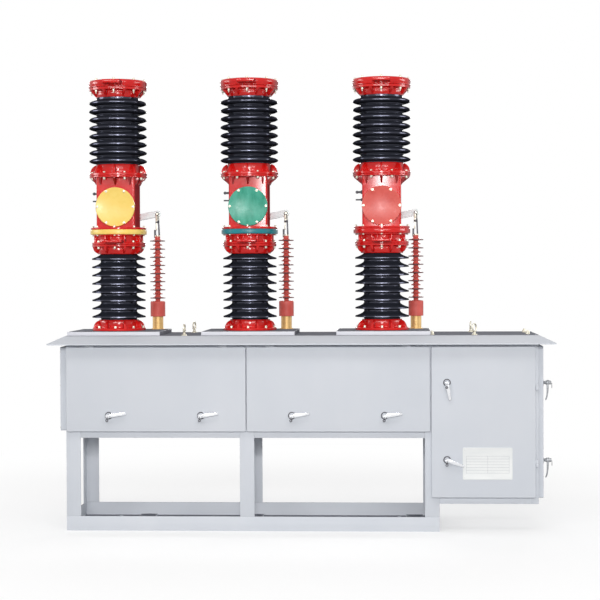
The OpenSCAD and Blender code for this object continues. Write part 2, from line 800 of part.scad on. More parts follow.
// A rounded box casting between two round flanges, with gussets under the top
// one and a bored boss for the crank shaft behind
module crank_housing() difference() {
    union() {
        cylinder(h = housing_flange_t, r = ring_r - 1, $fn = 96);
        linear_extrude(housing_h) round_rect(housing_w, housing_w, housing_r);
        translate([0, 0, housing_h - housing_top_t])
            cylinder(h = housing_top_t, r = upper_flange_r, $fn = 96);
        for (a = [0:90:270], y = [-gusset_side, 0, gusset_side])
            rotate(a) translate([0, y + 4, housing_h - housing_top_t])
                rotate([90, 0, 0]) linear_extrude(8)
                    polygon([[gusset_in, 0], [sqrt(pow(upper_flange_r - 5, 2) - y * y), 0],
                             [housing_w / 2 - 1, -gusset_h], [gusset_in, -gusset_h]]);
        translate([0, housing_w / 2 + boss_t, hub_z - housing_z]) rotate([90, 0, 0])
            cylinder(h = boss_t + 10, r = hub_r + 4);
        translate([0, 20 - housing_w / 2, cover_disc_z - housing_z]) rotate([90, 0, 0])
            cylinder(h = 20 + cover_boss_t, r = cover_disc_r - 0.5);
    }
    translate([0, housing_w / 2 + boss_t + 1, hub_z - housing_z]) rotate([90, 0, 0])
        cylinder(h = boss_t + 37, r = shaft_r + rod_play);
}

module crank_housings() color(casting_red)
    for (x = pole_xs) translate([x, 0, housing_z]) crank_housing();

// Two small valve fittings on the left face of each crank housing
module side_fittings() color(bright_metal)
    for (x = pole_xs, drop = fitting_drops)
        translate([x - housing_w / 2, 0, upper_z0 - drop]) rotate([0, -90, 0]) {
            cylinder(h = 10, r = 9);
            cylinder(h = 24, r = 5);
        }

module phase_cover(i) color(phase_colours[i])
    translate([pole_xs[i], -housing_w / 2 - cover_boss_t, cover_disc_z]) rotate([90, 0, 0])
        cylinder(h = phase_cover_t, r = cover_disc_r, $fn = 96);

// A round cap with the upper terminal pad in front
module top_cap() difference() {
    pad_y = -upper_shed_r - upper_pad_reach;
    union() {
        cylinder(h = cap_h, r = upper_shed_r, $fn = 96);
        block([-upper_pad_w / 2, pad_y, cap_h - pad_step - upper_pad_t],
              [upper_pad_w / 2, 0, cap_h - pad_step]);
    }
    translate([0, 0, cap_h]) pad_holes(pad_y);
}

module top_caps() color(casting_red)
    for (x = pole_xs) translate([x, 0, upper_z1]) top_cap();

module guide_tubes() color(brass_yellow)
    for (x = pole_xs) translate([x + rod_x, rod_y, plate_top]) difference() {
        cylinder(h = tube_h, r = tube_r);
        translate([0, 0, -1]) cylinder(h = tube_h + 2, r = stem_r + rod_play);
    }

// ---------------------------------------------------------------- drive

// A flat arm on its shaft; the slot at its end leads the rod's pin
module crank_arm(i) color(bright_metal)
    translate([pole_xs[i], 0, hub_z]) {
        hub_y = housing_w / 2 + boss_t + hub_gap;
        translate([0, rod_y + arm_t, 0]) rotate([90, 0, 0])
            cylinder(h = rod_y + arm_t - hub_y, r = hub_r);
        translate([0, rod_y + arm_t, 0]) rotate([90, 0, 0])
            cylinder(h = rod_y + arm_t - housing_w / 2 + 25, r = shaft_r);
        translate([0, rod_y + arm_t / 2, 0]) rotate([90, -arm_rise, 0])
            linear_extrude(arm_t) difference() {
                union() {
                    translate([0, -arm_h / 2]) square([arm_l, arm_h]);
                    translate([arm_l, 0]) circle(arm_h / 2);
                }
                translate([arm_l, 0]) circle(link_pin_r + link_play);
                translate([arm_l - slot_give, 0]) circle(link_pin_r + link_play);
                translate([arm_l - slot_give, -link_pin_r - link_play])
                    square([slot_give, 2 * (link_pin_r + link_play)]);
            }
    }

// Outline of the insulated rod: large and small sheds by turns
function rod_points(z) = concat(
    [for (i = [0:rod_sheds - 1]) each concat(
        [[rod_core_r, z + i * rod_pitch - 5], [rod_shed_r, z + i * rod_pitch - 1],
         [rod_shed_r, z + i * rod_pitch + 1], [rod_core_r, z + i * rod_pitch + 8]],
        i == rod_sheds - 1 ? [] : [
            [rod_core_r, z + (i + 0.5) * rod_pitch - 4],
            [rod_small_r, z + (i + 0.5) * rod_pitch - 1],
            [rod_small_r, z + (i + 0.5) * rod_pitch + 1],
            [rod_core_r, z + (i + 0.5) * rod_pitch + 6]
        ]
    )]
);

// The pull rod: fork and pin at the top, insulated rod, hollow boot and the
// stem that runs in the guide tube
module pull_rod(i) color(rod_red)
    translate([pole_xs[i] + rod_x, rod_y, 0]) {
        translate([0, 0, boot_z0]) difference() {
            union() {
                cylinder(h = boot_h - boot_cone, r = boot_r);
                translate([0, 0, boot_h - boot_cone])
                    cylinder(h = boot_cone, r1 = boot_r, r2 = rod_core_r + 8);
            }
            translate([0, 0, -1]) cylinder(h = boot_depth + 1, r = tube_r + boot_play);
        }
        translate([0, 0, tube_z1 - stem_drop])
            cylinder(h = boot_depth + stem_drop, r = stem_r);
        rotate_extrude() polygon(concat(
            [[0, rod_body_z0 - 2], [rod_core_r, rod_body_z0 - 2]],
            rod_points(rod_body_z0 + rod_first_shed),
            [[rod_core_r, rod_body_z1], [0, rod_body_z1]]
        ));
        translate([0, 0, rod_body_z1]) cylinder(h = 20, r = 12);
        translate([0, 0, rod_body_z1]) cylinder(h = link_h, r = 8);
        for (side = [-1, 1]) translate([0, side * (cheek_y - cheek_t / 2), 0])
            block([-cheek_w / 2, -cheek_t / 2, arm_pin_z - fork_h + fork_t],
                  [cheek_w / 2, cheek_t / 2, arm_pin_z + cheek_w / 2]);
        block([-cheek_w / 2, -cheek_y, arm_pin_z - fork_h],
              [cheek_w / 2, cheek_y, arm_pin_z - fork_h + fork_t]);
        translate([0, cheek_y + pin_head, arm_pin_z]) rotate([90, 0, 0])
            cylinder(h = 2 * (cheek_y + pin_head), r = link_pin_r);
    }

// ---------------------------------------------------------------- assembly

base_long_rails();
base_cross_members();
front_posts();
rear_posts();
cabinet_bottom_rails();
cabinet_top_rails();
cabinet_floor();
rear_covers();
left_end_cover();
box_corner_posts();
box_rails();
box_left_wall();
box_back_wall();
box_floor();
roof_top();
roof_eaves();
pole_plates();
lifting_eyes();
door_hinges();
front_cover_left();
front_cover_right();
mechanism_door();
side_door();
nameplate();
cover_handle(0);  // cover_handle_1
cover_handle(1);  // cover_handle_2
cover_handle(2);  // cover_handle_3
cover_handle(3);  // cover_handle_4
door_handle(0);  // door_handle_lower
door_handle(1);  // door_handle_upper
side_handle(0);  // side_handle_lower
side_handle(1);  // side_handle_upper
lower_insulators();
lower_insulator_flanges();
terminal_spools();
phase_ring(0);  // phase_ring_a
phase_ring(1);  // phase_ring_b
phase_ring(2);  // phase_ring_c
crank_housings();
side_fittings();
phase_cover(0);  // phase_cover_a
phase_cover(1);  // phase_cover_b
phase_cover(2);  // phase_cover_c
upper_insulators();
upper_insulator_flanges();
top_caps();
guide_tubes();
crank_arm(0);  // crank_arm_a
crank_arm(1);  // crank_arm_b
crank_arm(2);  // crank_arm_c
pull_rod(0);  // pull_rod_a
pull_rod(1);  // pull_rod_b
pull_rod(2);  // pull_rod_c
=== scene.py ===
import json
import math

import bpy
from mathutils import Matrix, Vector

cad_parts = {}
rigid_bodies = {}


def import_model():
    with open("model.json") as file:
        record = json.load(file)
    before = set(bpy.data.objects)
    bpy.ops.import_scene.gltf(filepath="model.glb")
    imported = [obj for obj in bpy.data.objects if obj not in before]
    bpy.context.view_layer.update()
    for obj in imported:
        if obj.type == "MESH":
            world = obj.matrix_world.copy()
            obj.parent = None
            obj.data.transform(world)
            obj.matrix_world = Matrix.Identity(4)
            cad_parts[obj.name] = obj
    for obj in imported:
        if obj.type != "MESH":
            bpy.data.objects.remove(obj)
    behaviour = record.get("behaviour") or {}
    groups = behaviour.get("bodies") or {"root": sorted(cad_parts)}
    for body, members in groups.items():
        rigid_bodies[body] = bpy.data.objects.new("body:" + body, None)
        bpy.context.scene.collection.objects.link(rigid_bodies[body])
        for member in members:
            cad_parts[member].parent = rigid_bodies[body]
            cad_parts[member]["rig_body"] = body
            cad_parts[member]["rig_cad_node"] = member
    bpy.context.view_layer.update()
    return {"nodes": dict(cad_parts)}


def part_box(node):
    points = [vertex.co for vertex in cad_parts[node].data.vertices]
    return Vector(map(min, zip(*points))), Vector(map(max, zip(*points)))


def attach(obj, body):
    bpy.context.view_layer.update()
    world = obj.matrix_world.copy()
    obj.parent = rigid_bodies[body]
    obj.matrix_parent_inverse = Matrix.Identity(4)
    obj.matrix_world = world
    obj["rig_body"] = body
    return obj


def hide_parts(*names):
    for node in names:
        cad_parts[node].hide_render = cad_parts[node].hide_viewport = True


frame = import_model()

# ---- measures
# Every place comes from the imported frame. Lengths in names and outlines are in mm, FINE is the
# number of steps round a large turned piece, and SPINDLE_INSET is a handle's spindle from the
# corner of the handle's box.

MM = 0.001
FINE = 96
SEAL_GAP = 0.4
STEM_HOLE_R = 16
EAVE_DROP = 38
ROOF_WALL = 4
COVER_WALL = 3
HUB_RADIUS = 26
SPINDLE_INSET = 13
REAR_COVER_DEPTH = 25

POLES = ("a", "b", "c")
pole_x = [sum(p.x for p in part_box("phase_ring_" + pole)) / 2 for pole in POLES]
pole_shifts = [Vector((x - pole_x[0], 0, 0)) for x in pole_x]

plate_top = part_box("pole_plates")[1].z
roof_top_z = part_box("roof_top")[1].z
lower_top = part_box("lower_insulator_flanges")[1].z
ring_low, ring_high = (p.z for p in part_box("phase_ring_a"))
upper_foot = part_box("upper_insulator_flanges")[0].z
upper_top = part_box("upper_insulator_flanges")[1].z
cap_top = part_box("top_caps")[1].z
lower_shed_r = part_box("lower_insulators")[1].y / MM
upper_shed_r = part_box("upper_insulators")[1].y / MM
lower_flange_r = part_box("lower_insulator_flanges")[1].y / MM
upper_flange_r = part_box("upper_insulator_flanges")[1].y / MM
ring_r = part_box("phase_ring_a")[1].y / MM
disc_low, disc_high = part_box("phase_cover_a")
disc_r = (disc_high.z - disc_low.z) / 2 / MM
disc_z = (disc_high.z + disc_low.z) / 2
disc_back = disc_high.y
housing_half = disc_r
frame_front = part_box("front_posts")[0].y
door_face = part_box("nameplate")[1].y
crank_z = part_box("crank_arm_a")[0].z + HUB_RADIUS * MM


# ---- workbench

def millimetres(x, y, z):
    return Vector((x, y, z)) * MM


def on_axis(z, rise=0):
    """A point on the first pole's axis, a rise in mm above z."""
    return Vector((pole_x[0], 0, z + rise * MM))


def alone(obj):
    """Back to object mode, with this piece selected and nothing else."""
    if bpy.context.mode != "OBJECT":
        bpy.ops.object.mode_set(mode="OBJECT")
    bpy.ops.object.select_all(action="DESELECT")
    obj.select_set(True)
    bpy.context.view_layer.objects.active = obj


def choose(obj, kind, test):
    """Edit mode, with only the vertices, edges or faces that pass the test selected."""
    alone(obj)
    mesh = obj.data
    facts = {
        "VERT": (mesh.vertices, lambda corner: (corner.co,)),
        "EDGE": (mesh.edges, lambda edge: [mesh.vertices[i].co for i in edge.vertices]),
        "FACE": (mesh.polygons, lambda face: (face.center, face.normal)),
    }
    bpy.context.tool_settings.mesh_select_mode = [kind == key for key in facts]
    for parts, _ in facts.values():
        parts.foreach_set("select", [False] * len(parts))
    parts, facts_of = facts[kind]
    for part in parts:
        part.select = test(*facts_of(part))
    bpy.ops.object.mode_set(mode="EDIT")


def done():
    bpy.ops.object.mode_set(mode="OBJECT")


def stock(name, add, **options):
    """A new piece from one of the plain shapes, its place kept in its mesh."""
    bpy.ops.object.select_all(action="DESELECT")
    add(**options)
    obj = bpy.context.object
    obj.name = name
    bpy.ops.object.transform_apply(location=True, rotation=True, scale=True)
    return obj


def block(name, low, high):
    """A cube stretched between two corners."""
    low, high = Vector(low), Vector(high)
    return stock(name, bpy.ops.mesh.primitive_cube_add, size=1, location=(low + high) / 2,
                 scale=high - low)


def slab(name, at, low, high):
    """A block between two corners that are given in mm from a point."""
    at = Vector(at)
    return block(name, at + millimetres(*low), at + millimetres(*high))


def whole(operation, **options):
    """Runs an edit-mode operation on all of the mesh."""
    bpy.ops.mesh.select_all(action="SELECT")
    operation(**options)


def faced_out():
    """Turns all faces outward and leaves edit mode."""
    whole(bpy.ops.mesh.normals_make_consistent, inside=False)
    done()


def drawn_line(name, points):
    """A line of edges drawn out from one vertex; edit mode stays on."""
    obj = stock(name, bpy.ops.mesh.primitive_plane_add, size=0.01, location=points[0])
    bpy.ops.object.mode_set(mode="EDIT")
    bpy.ops.mesh.select_mode(type="VERT")
    whole(bpy.ops.mesh.merge, type="CENTER")
    for start, end in zip(points, points[1:]):
        bpy.ops.mesh.extrude_region_move(TRANSFORM_OT_translate={"value": end - start})
    return obj


def turned(name, outline, at=(0, 0, 0), steps=64):
    """A piece turned on a lathe about the upright line through at; outline is (radius, height)."""
    at = Vector(at)
    obj = drawn_line(name, [at + millimetres(r, 0, z) for r, z in outline])
    whole(bpy.ops.mesh.spin, steps=steps, angle=2 * math.pi, center=at, axis=(0, 0, 1))
    whole(bpy.ops.mesh.remove_doubles, threshold=0.00002)
    faced_out()
    return obj


def cut_plate(name, outline, at, thickness):
    """A plate cut to an outline of (x, z) and as thick as said along Y, centred on at."""
    at = Vector(at)
    points = [at + millimetres(x, -thickness / 2, z) for x, z in outline]
    obj = drawn_line(name, points)
    whole(bpy.ops.mesh.edge_face_add)
    whole(bpy.ops.mesh.extrude_region_move,
          TRANSFORM_OT_translate={"value": millimetres(0, thickness, 0)})
    faced_out()
    return obj


def ends_of(low, high, inset):
    """Two places, each an inset in mm from one end of a span."""
    return low + inset * MM, high - inset * MM


def arc(centre, radius, start, end, count):
    """Points on an arc in a plane, angles in degrees."""
    return [
        (centre[0] + radius * math.cos(math.radians(start + (end - start) * i / count)),
         centre[1] + radius * math.sin(math.radians(start + (end - start) * i / count)))
        for i in range(count + 1)
    ]


def rim_line(inner, outer, low, high, ease):
    """The outline of a disc, or of a ring when it has an inner radius, with eased edges."""
    line = [(inner, low), (outer - ease, low), (outer, low + ease), (outer, high - ease),
            (outer - ease, high), (inner, high)]
    return line + line[:1] if inner else line


def sweep(p0, p1, p2, count):
    """Points on a curve from p0 to p2 that leans on p1."""
    points = []
    for i in range(count + 1):
        t = i / count
        points.append(tuple(
            (1 - t) ** 2 * a + 2 * t * (1 - t) * b + t * t * c for a, b, c in zip(p0, p1, p2)))
    return points


def rounded(obj, width, test, segments=3):
    """Rounds the edges that pass the test."""
    choose(obj, "EDGE", test)
    bpy.ops.mesh.bevel(offset=width * MM, segments=segments, affect="EDGES", clamp_overlap=True)
    done()
    return obj


def pulled(obj, kind, test, offset, inset=0):
    """Moves what passes the test by an offset; a face may be inset first."""
    choose(obj, kind, test)
    if inset:
        bpy.ops.mesh.inset(thickness=inset)
    bpy.ops.transform.translate(value=offset)
    done()
    return obj


def thinned(obj, axis, centre, share_at):
    """Narrows a piece along Y, level by level along an axis, to the share for that level."""
    centre = Vector(centre)
    for level in sorted({round(v.co[axis], 5) for v in obj.data.vertices}):
        centre[axis] = level
        choose(obj, "VERT", lambda p: abs(p[axis] - level) < 1e-5)
        bpy.ops.transform.resize(value=(1, share_at(level), 1), center_override=centre)
        done()
    return obj


def worked(obj, kind, **settings):
    """Adds a modifier with these settings and applies it."""
    alone(obj)
    bpy.ops.object.modifier_add(type=kind)
    modifier = obj.modifiers[-1]
    for key, value in settings.items():
        setattr(modifier, key, value)
    bpy.ops.object.modifier_apply(modifier=modifier.name)
    return obj


def eased(obj, width, segments=2, angle=40):
    """Breaks the sharp edges with a small round, as a file or thick paint does."""
    return worked(obj, "BEVEL", width=width * MM, segments=segments, limit_method="ANGLE",
                  angle_limit=math.radians(angle))


def hollowed(obj, thickness, test, even=False):
    """Takes away the faces that pass the test and gives the rest a wall."""
    choose(obj, "FACE", test)
    bpy.ops.mesh.delete(type="FACE")
    done()
    return worked(obj, "SOLIDIFY", thickness=thickness * MM, offset=-1, use_even_offset=even)


def drilled(obj, cutters):
    """Cuts the cutters out of the piece and removes them."""
    for cutter in cutters:
        worked(obj, "BOOLEAN", operation="DIFFERENCE", solver="EXACT", object=cutter)
        bpy.data.objects.remove(cutter)
    return obj


def bar(name, at, radius, height, sides=32):
    """A round bar that stands on at."""
    return stock(name, bpy.ops.mesh.primitive_cylinder_add, vertices=sides, radius=radius * MM,
                 depth=height * MM, location=Vector(at) + millimetres(0, 0, height / 2))


def moved(obj, matrix):
    obj.data.transform(matrix)
    return obj


def twin(obj, matrix=Matrix.Identity(4)):
    """A copy with its own mesh, placed by the matrix."""
    copy = obj.copy()
    copy.data = obj.data.copy()
    bpy.context.scene.collection.objects.link(copy)
    return moved(copy, matrix)


def discard(patterns):
    """Removes patterns that only their copies stand for."""
    for pattern in patterns:
        bpy.data.objects.remove(pattern)


def joined(pieces):
    alone(pieces[0])
    for piece in pieces:
        piece.select_set(True)
    if len(pieces) > 1:
        bpy.ops.object.join()
    return pieces[0]


def turn_about(centre, degrees, axis="Z"):
    """The matrix of a turn about a line through centre."""
    centre = Vector(centre)
    return (Matrix.Translation(centre) @ Matrix.Rotation(math.radians(degrees), 4, axis)
            @ Matrix.Translation(-centre))


def around(obj, centre, angles):
    """Copies of the piece turned about the upright line through centre; the first one goes."""
    copies = [twin(obj, turn_about(centre, angle)) for angle in angles]
    bpy.data.objects.remove(obj)
    return joined(copies)


def on_poles(obj):
    """The piece of the first pole, joined with its copies on the other two."""
    return joined([obj] + [twin(obj, Matrix.Translation(shift)) for shift in pole_shifts[1:]])


def placed(obj, at, degrees=0, axis="Z"):
    """Turns a piece about an axis through the origin, then takes it to its place."""
    turn = Matrix.Rotation(math.radians(degrees), 4, axis)
    return moved(obj, Matrix.Translation(Vector(at)) @ turn)


def facing_front(obj, at=(0, 0, 0)):
    """Takes a piece turned about the upright line through the origin and points it at -Y."""
    return placed(obj, at, 90, "X")


def fitted(obj, name, slot, *stands_for, body="frame", smooth=32):
    """Names the piece, gives it its finish and hangs it on its body."""
    obj.name = name
    obj.data.name = name
    obj.data.materials.clear()
    obj.data.materials.append(finishes[slot])
    alone(obj)
    bpy.ops.object.shade_smooth_by_angle(angle=math.radians(smooth))
    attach(obj, body)
    if stands_for:
        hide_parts(*stands_for)
    return obj


def eased_node(node, width, slot="cabinet_paint", body="frame", segments=2):
    """A merged copy of a CAD node with its edges broken, which stands for the node."""
    source = frame["nodes"][node]
    copy = source.copy()
    copy.data = source.data.copy()
    copy.parent = None
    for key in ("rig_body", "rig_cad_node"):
        del copy[key]
    bpy.context.scene.collection.objects.link(copy)
    choose(copy, "VERT", lambda p: True)
    bpy.ops.mesh.remove_doubles(threshold=0.00001)
    bpy.ops.mesh.select_all(action="SELECT")
    bpy.ops.mesh.dissolve_limited(angle_limit=math.radians(0.5))
    done()
    eased(copy, width, segments)
    return fitted(copy, node + "_body", slot, node, body=body)


# ---- finishes

def tone(r, g, b):
    """A colour on the 0-255 scale as the shader's own numbers."""
    return tuple(
        c / 255 / 12.92 if c / 255 <= 0.04045 else ((c / 255 + 0.055) / 1.055) ** 2.4
        for c in (r, g, b)) + (1.0,)


class Nodes:
    """A node tree whose nodes are added and linked by short calls."""

    def __init__(self, owner):
        owner.use_nodes = True
        self.tree = owner.node_tree

    def add(self, kind, inputs=None, output=0, **settings):
        """Adds a node, its inputs constants or other nodes' outputs, and returns one output."""
        node = self.tree.nodes.new("ShaderNode" + kind)
        for key, value in settings.items():
            setattr(node, key, value)
        for key, value in (inputs or {}).items():
            if isinstance(value, bpy.types.NodeSocket):
                self.tree.links.new(value, node.inputs[key])
            else:
                node.inputs[key].default_value = value
        return None if output is None else node.outputs[output]

    def sums(self, operation, *values):
        """A sum such as MULTIPLY or MAXIMUM on one or two values."""
        return self.add("Math", dict(enumerate(values)), operation=operation)

    def seen(self):
        """1 for what the camera sees, straight or in a reflection, and 0 for other rays."""
        rays = [self.add("LightPath", output=f"Is {kind} Ray")
                for kind in ("Camera", "Glossy", "Transmission")]
        return self.sums("MAXIMUM", self.sums("MAXIMUM", rays[0], rays[1]), rays[2])


class Finish(Nodes):
    """A finish on Object coordinates."""

    def __init__(self, name):
        self.material = bpy.data.materials.new(name)
        super().__init__(self.material)
        self.shader = self.tree.nodes["Principled BSDF"]
        self.place = self.add("TexCoord", output="Object")

    def set(self, **values):
        for key, value in values.items():
            self.shader.inputs[key.replace("_", " ")].default_value = value
        return self

    def to(self, socket, value):
        self.tree.links.new(value, self.shader.inputs[socket])
        return self

    def noise(self, scale, detail=3.0, stretch=(1, 1, 1), rough=0.5):
        """Cloudy noise, features about 1/scale metres across; stretch draws it out."""
        place = self.add("Mapping", {"Vector": self.place, "Scale": stretch})
        return self.add("TexNoise", {
            "Vector": place, "Scale": scale, "Detail": detail, "Roughness": rough}, "Fac")

    def cloudy(self, scale, first, second):
        """Clouds of the second colour in the first."""
        return self.blend(self.span(self.noise(scale, 4.0), 0.3, 0.7), first, second)

    def rough(self, scale, low, high, detail=4.0, stretch=(1, 1, 1)):
        """Roughness that wanders between two levels."""
        self.to("Roughness", self.span(self.noise(scale, detail, stretch), 0.3, 0.7, low, high))

    def span(self, value, low, high, to_low=0, to_high=1):
        """Maps value from one range to another."""
        return self.add("MapRange", {
            "Value": value, "From Min": low, "From Max": high, "To Min": to_low, "To Max": to_high})

    def blend(self, share, first, second):
        """Mixes two colours, each on the 0-255 scale or an output."""
        first, second = (tone(*c) if isinstance(c, tuple) else c for c in (first, second))
        return self.add("Mix", {"Factor": share, 6: first, 7: second}, 2, data_type="RGBA")

    def mixed(self, share, first, second):
        """Mixes two numbers."""
        return self.add("Mix", {"Factor": share, "A": first, "B": second})

    def facing(self, axis, low, high, either_way=False):
        """Rises from 0 to 1 as the face turns towards the axis."""
        normal = self.add("NewGeometry", output="Normal")
        share = self.add("SeparateXYZ", {0: normal}, axis)
        if either_way:
            share = self.sums("ABSOLUTE", share)
        return self.span(share, low, high)

    def bump(self, value, depth, strength=1.0):
        relief = {"Height": value, "Distance": depth * MM, "Strength": strength}
        return self.to("Normal", self.add("Bump", relief))


def cabinet_paint(name, light, dark, top_shade=None, shade_right_faces=False):
    """Satin powder coat: cloudy tone, orange peel, and painted shade on the faces that look up (and,
    when asked, on the faces turned to +X), which take a darker, speckled colour and lose their
    gloss.
    """
    f = Finish(name)
    clouds = f.span(f.noise(2.2, 4.0), 0.32, 0.68)
    streaks = f.span(f.noise(9.0, 3.0, (1, 1, 0.12)), 0.35, 0.75, 0, 0.35)
    colour = f.blend(streaks, f.blend(clouds, light, dark), dark)
    if top_shade:
        # painted shade: faces that look up take the darker colour, broken by specks, and lose their
        # gloss
        specks = f.span(f.noise(60.0, 5.0, rough=0.7), 0.3, 0.7, 0.82, 1)
        shaded_faces = f.facing("Z", 0.93, 0.98)
        # painted shade: faces turned to +X take the same darker colour
        if shade_right_faces:
            shaded_faces = f.sums("MAXIMUM", shaded_faces, f.facing("X", 0.80, 0.95))
        colour = f.blend(f.sums("MULTIPLY", shaded_faces, specks), colour, top_shade)
        f.to("Specular IOR Level", f.mixed(shaded_faces, 0.22, 0.0))
    f.to("Base Color", colour)
    f.rough(14.0, 0.46, 0.58)
    f.bump(f.noise(520.0, 2.0), 0.05, 0.35)
    return f.set(Specular_IOR_Level=0.22).material


def casting_enamel(name, light, dark, side_shade):
    """Thick gloss enamel over sand castings; the cheeks that face sideways take a darker colour and
    lose their gloss, painted shade.
    """
    f = Finish(name)
    # painted shade: faces turned to +X or -X take the darker colour and no gloss
    cheek = f.facing("X", 0.88, 0.98, True)
    f.to("Base Color", f.blend(cheek, f.cloudy(11.0, light, dark), side_shade))
    f.rough(38.0, 0.14, 0.19)
    f.to("Specular IOR Level", f.mixed(cheek, 0.33, 0.0))
    f.bump(f.noise(95.0, 4.0, rough=0.6), 0.10, 0.2)
    return f.set(Specular_IOR_Level=0.33).material


def shed_rubber(name, light, dark, gloss, metallic):
    """Moulded black sheds: the upright rims and cores keep a dark metallic gloss; the sloped faces
    lose it and take a flat dark colour, painted shade in place of the reflection they would show.
    """
    f = Finish(name)
    shaded_slope = f.facing("Z", 0.10, 0.30, True)
    # painted shade: sloped faces take a flat dark colour with no gloss
    f.to("Base Color", f.blend(shaded_slope, f.cloudy(16.0, light, dark), (46, 48, 57)))
    f.rough(45.0, gloss - 0.03, gloss + 0.04)
    f.to("Metallic", f.mixed(shaded_slope, metallic, 0.0))
    f.to("Specular IOR Level", f.mixed(shaded_slope, 0.3, 0.0))
    f.bump(f.noise(240.0, 3.0), 0.03, 0.2)
    return f.set(Specular_IOR_Level=0.3, Specular_Tint=(0.12, 0.12, 0.14, 1)).material


def rod_silicone(name, light, dark, rim):
    """Brick-red silicone, darker towards the shed rims: painted shade for the thin rims seen
    edge-on.
    """
    f = Finish(name)
    # painted shade: the outer part of each shed darkens towards the rim colour
    outer = f.span(f.add("Attribute", output="Fac", attribute_name="rim"), 0.55, 0.85)
    f.to("Base Color", f.blend(outer, f.cloudy(16.0, light, dark), rim))
    f.rough(45.0, 0.42, 0.56)
    f.bump(f.noise(240.0, 3.0), 0.08, 0.3)
    return f.set(Specular_IOR_Level=0.25).material


def enamel(name, light, dark, mottle, stretch=(1, 1, 1)):
    """Brushed enamel with more or less mottling."""
    f = Finish(name)
    strokes = f.span(f.noise(mottle, 5.0, stretch, 0.6), 0.34, 0.66)
    f.to("Base Color", f.blend(strokes, light, dark))
    f.rough(40.0, 0.24, 0.34)
    f.bump(f.noise(140.0, 4.0, stretch), 0.05, 0.2)
    return f.set(Specular_IOR_Level=0.3).material


def plated(name, light, dark, grain, roughness, metallic, stretch=(1, 1, 1), edges=None):
    """Plated or machined metal with a spangle or a turning grain; given an edges colour, the faces
    that tilt up or down take it as painted shade.
    """
    f = Finish(name)
    spangle = f.span(f.noise(grain, 5.0, stretch, 0.6), 0.32, 0.68)
    colour = f.blend(spangle, light, dark)
    # painted shade: faces that tilt up or down past about 20 degrees take the edges colour, so only
    # the upright faces keep the plated tone
    if edges:
        for axis, low, high in (("Z", 0.3, 0.5), ("Z", -0.3, -0.5)):
            colour = f.blend(f.facing(axis, low, high), colour, edges)
    f.to("Base Color", colour)
    f.rough(grain * 2, roughness - 0.06, roughness + 0.08, 3.0, stretch)
    f.bump(f.noise(grain * 5, 3.0, stretch), 0.04, 0.3)
    return f.set(Metallic=metallic).material


# the darker colour of the painted shade on faces that look up
roof_top_shade = (126, 128, 136)
finishes = {
    "cabinet_paint": cabinet_paint(
        "satin_grey_coat", (213, 216, 222), (206, 210, 217), roof_top_shade),
    "cabinet_paint-leaf": cabinet_paint(
        "satin_grey_leaf_coat", (211, 214, 220), (205, 209, 216)),
    # the plates take the painted shade on their tops and on their +X faces
    "cabinet_paint-plates": cabinet_paint(
        "pale_plate_coat", (232, 232, 238), (224, 225, 232), roof_top_shade, True),
    "red_casting": casting_enamel(
        "red_casting_enamel", (220, 32, 28), (204, 22, 22), (176, 62, 66)),
    # a darker copy of the red enamel: painted shade for the hanging gussets
    "red_casting-shaded": casting_enamel(
        "red_casting_shaded", (170, 24, 26), (152, 18, 20), (140, 30, 34)),
    "black_insulator": shed_rubber(
        "black_shed_rubber", (67, 68, 78), (60, 61, 70), 0.19, 0.85),
    "phase_yellow": enamel("yellow_enamel", (254, 222, 122), (250, 214, 110), 12.0),
    "phase_green": enamel(
        "green_enamel", (82, 176, 152), (46, 148, 122), 26.0, (1, 1, 0.35)),
    # phase C's cover: its own red enamel, lightened to pink by painted sheen for the glare on it
    "phase_red": enamel("red_enamel", (222, 98, 88), (210, 84, 76), 14.0),
    "ring_teal": enamel("teal_enamel", (40, 138, 148), (24, 118, 128), 18.0),
    "galvanised_steel": plated(
        "zinc_plated_steel", (232, 228, 214), (200, 194, 174), 120.0, 0.36, 0.6),
    # the flat bar's tops, bottoms and eased edges take a dark colour: painted shade along its edges
    "galvanised_steel-arm": plated(
        "flat_bar_steel", (234, 243, 243), (220, 230, 232), 150.0, 0.5, 0.1,
        edges=(70, 70, 74)),
    "galvanised_steel-dark": plated(
        "blackened_steel", (92, 92, 98), (66, 66, 72), 90.0, 0.42, 0.3),
    "chrome_handle": plated(
        "polished_plating", (238, 239, 241), (222, 224, 228), 40.0, 0.18, 0.85),
    "chrome_handle-shaded": plated(
        "shaded_plating", (172, 174, 178), (146, 148, 152), 40.0, 0.3, 0.4),
    "brass": plated(
        "turned_brass", (236, 200, 136), (222, 180, 112), 60.0, 0.44, 0.35, (1, 1, 9)),
    "rod_insulator": rod_silicone(
        "brick_red_silicone", (224, 106, 98), (206, 88, 80), (122, 80, 80)),
    "plate_aluminium": plated(
        "pale_plate", (226, 227, 226), (218, 220, 220), 18.0, 0.55, 0.1, (0.2, 1, 1)),
}


# ---- fastenings

def hex_bolt(flats, head, washer, stud):
    """A hexagon head with a chamfered top on a round washer; the stud stands past it."""
    radius = flats / math.sqrt(3)
    bolt = bar("bolt_head", millimetres(0, 0, washer), radius, head, 6)
    pulled(bolt, "FACE", lambda c, n: n.z > 0.9, millimetres(0, 0, radius * 0.07),
           radius * 0.12 * MM)
    disc = turned("bolt_washer", [
        (0, 0), (radius * 1.14, 0), (radius * 1.16, washer * 0.5), (radius * 1.12, washer),
        (0, washer)], steps=16)
    eased(bolt, radius * 0.05, 1)
    parts = [bolt, disc]
    if stud:
        top = washer + head + stud
        parts.append(turned("bolt_stud", [
            (0, washer), (flats * 0.29, washer), (flats * 0.29, top - 1.2),
            (flats * 0.24, top), (0, top)], steps=12))
    return joined(parts)


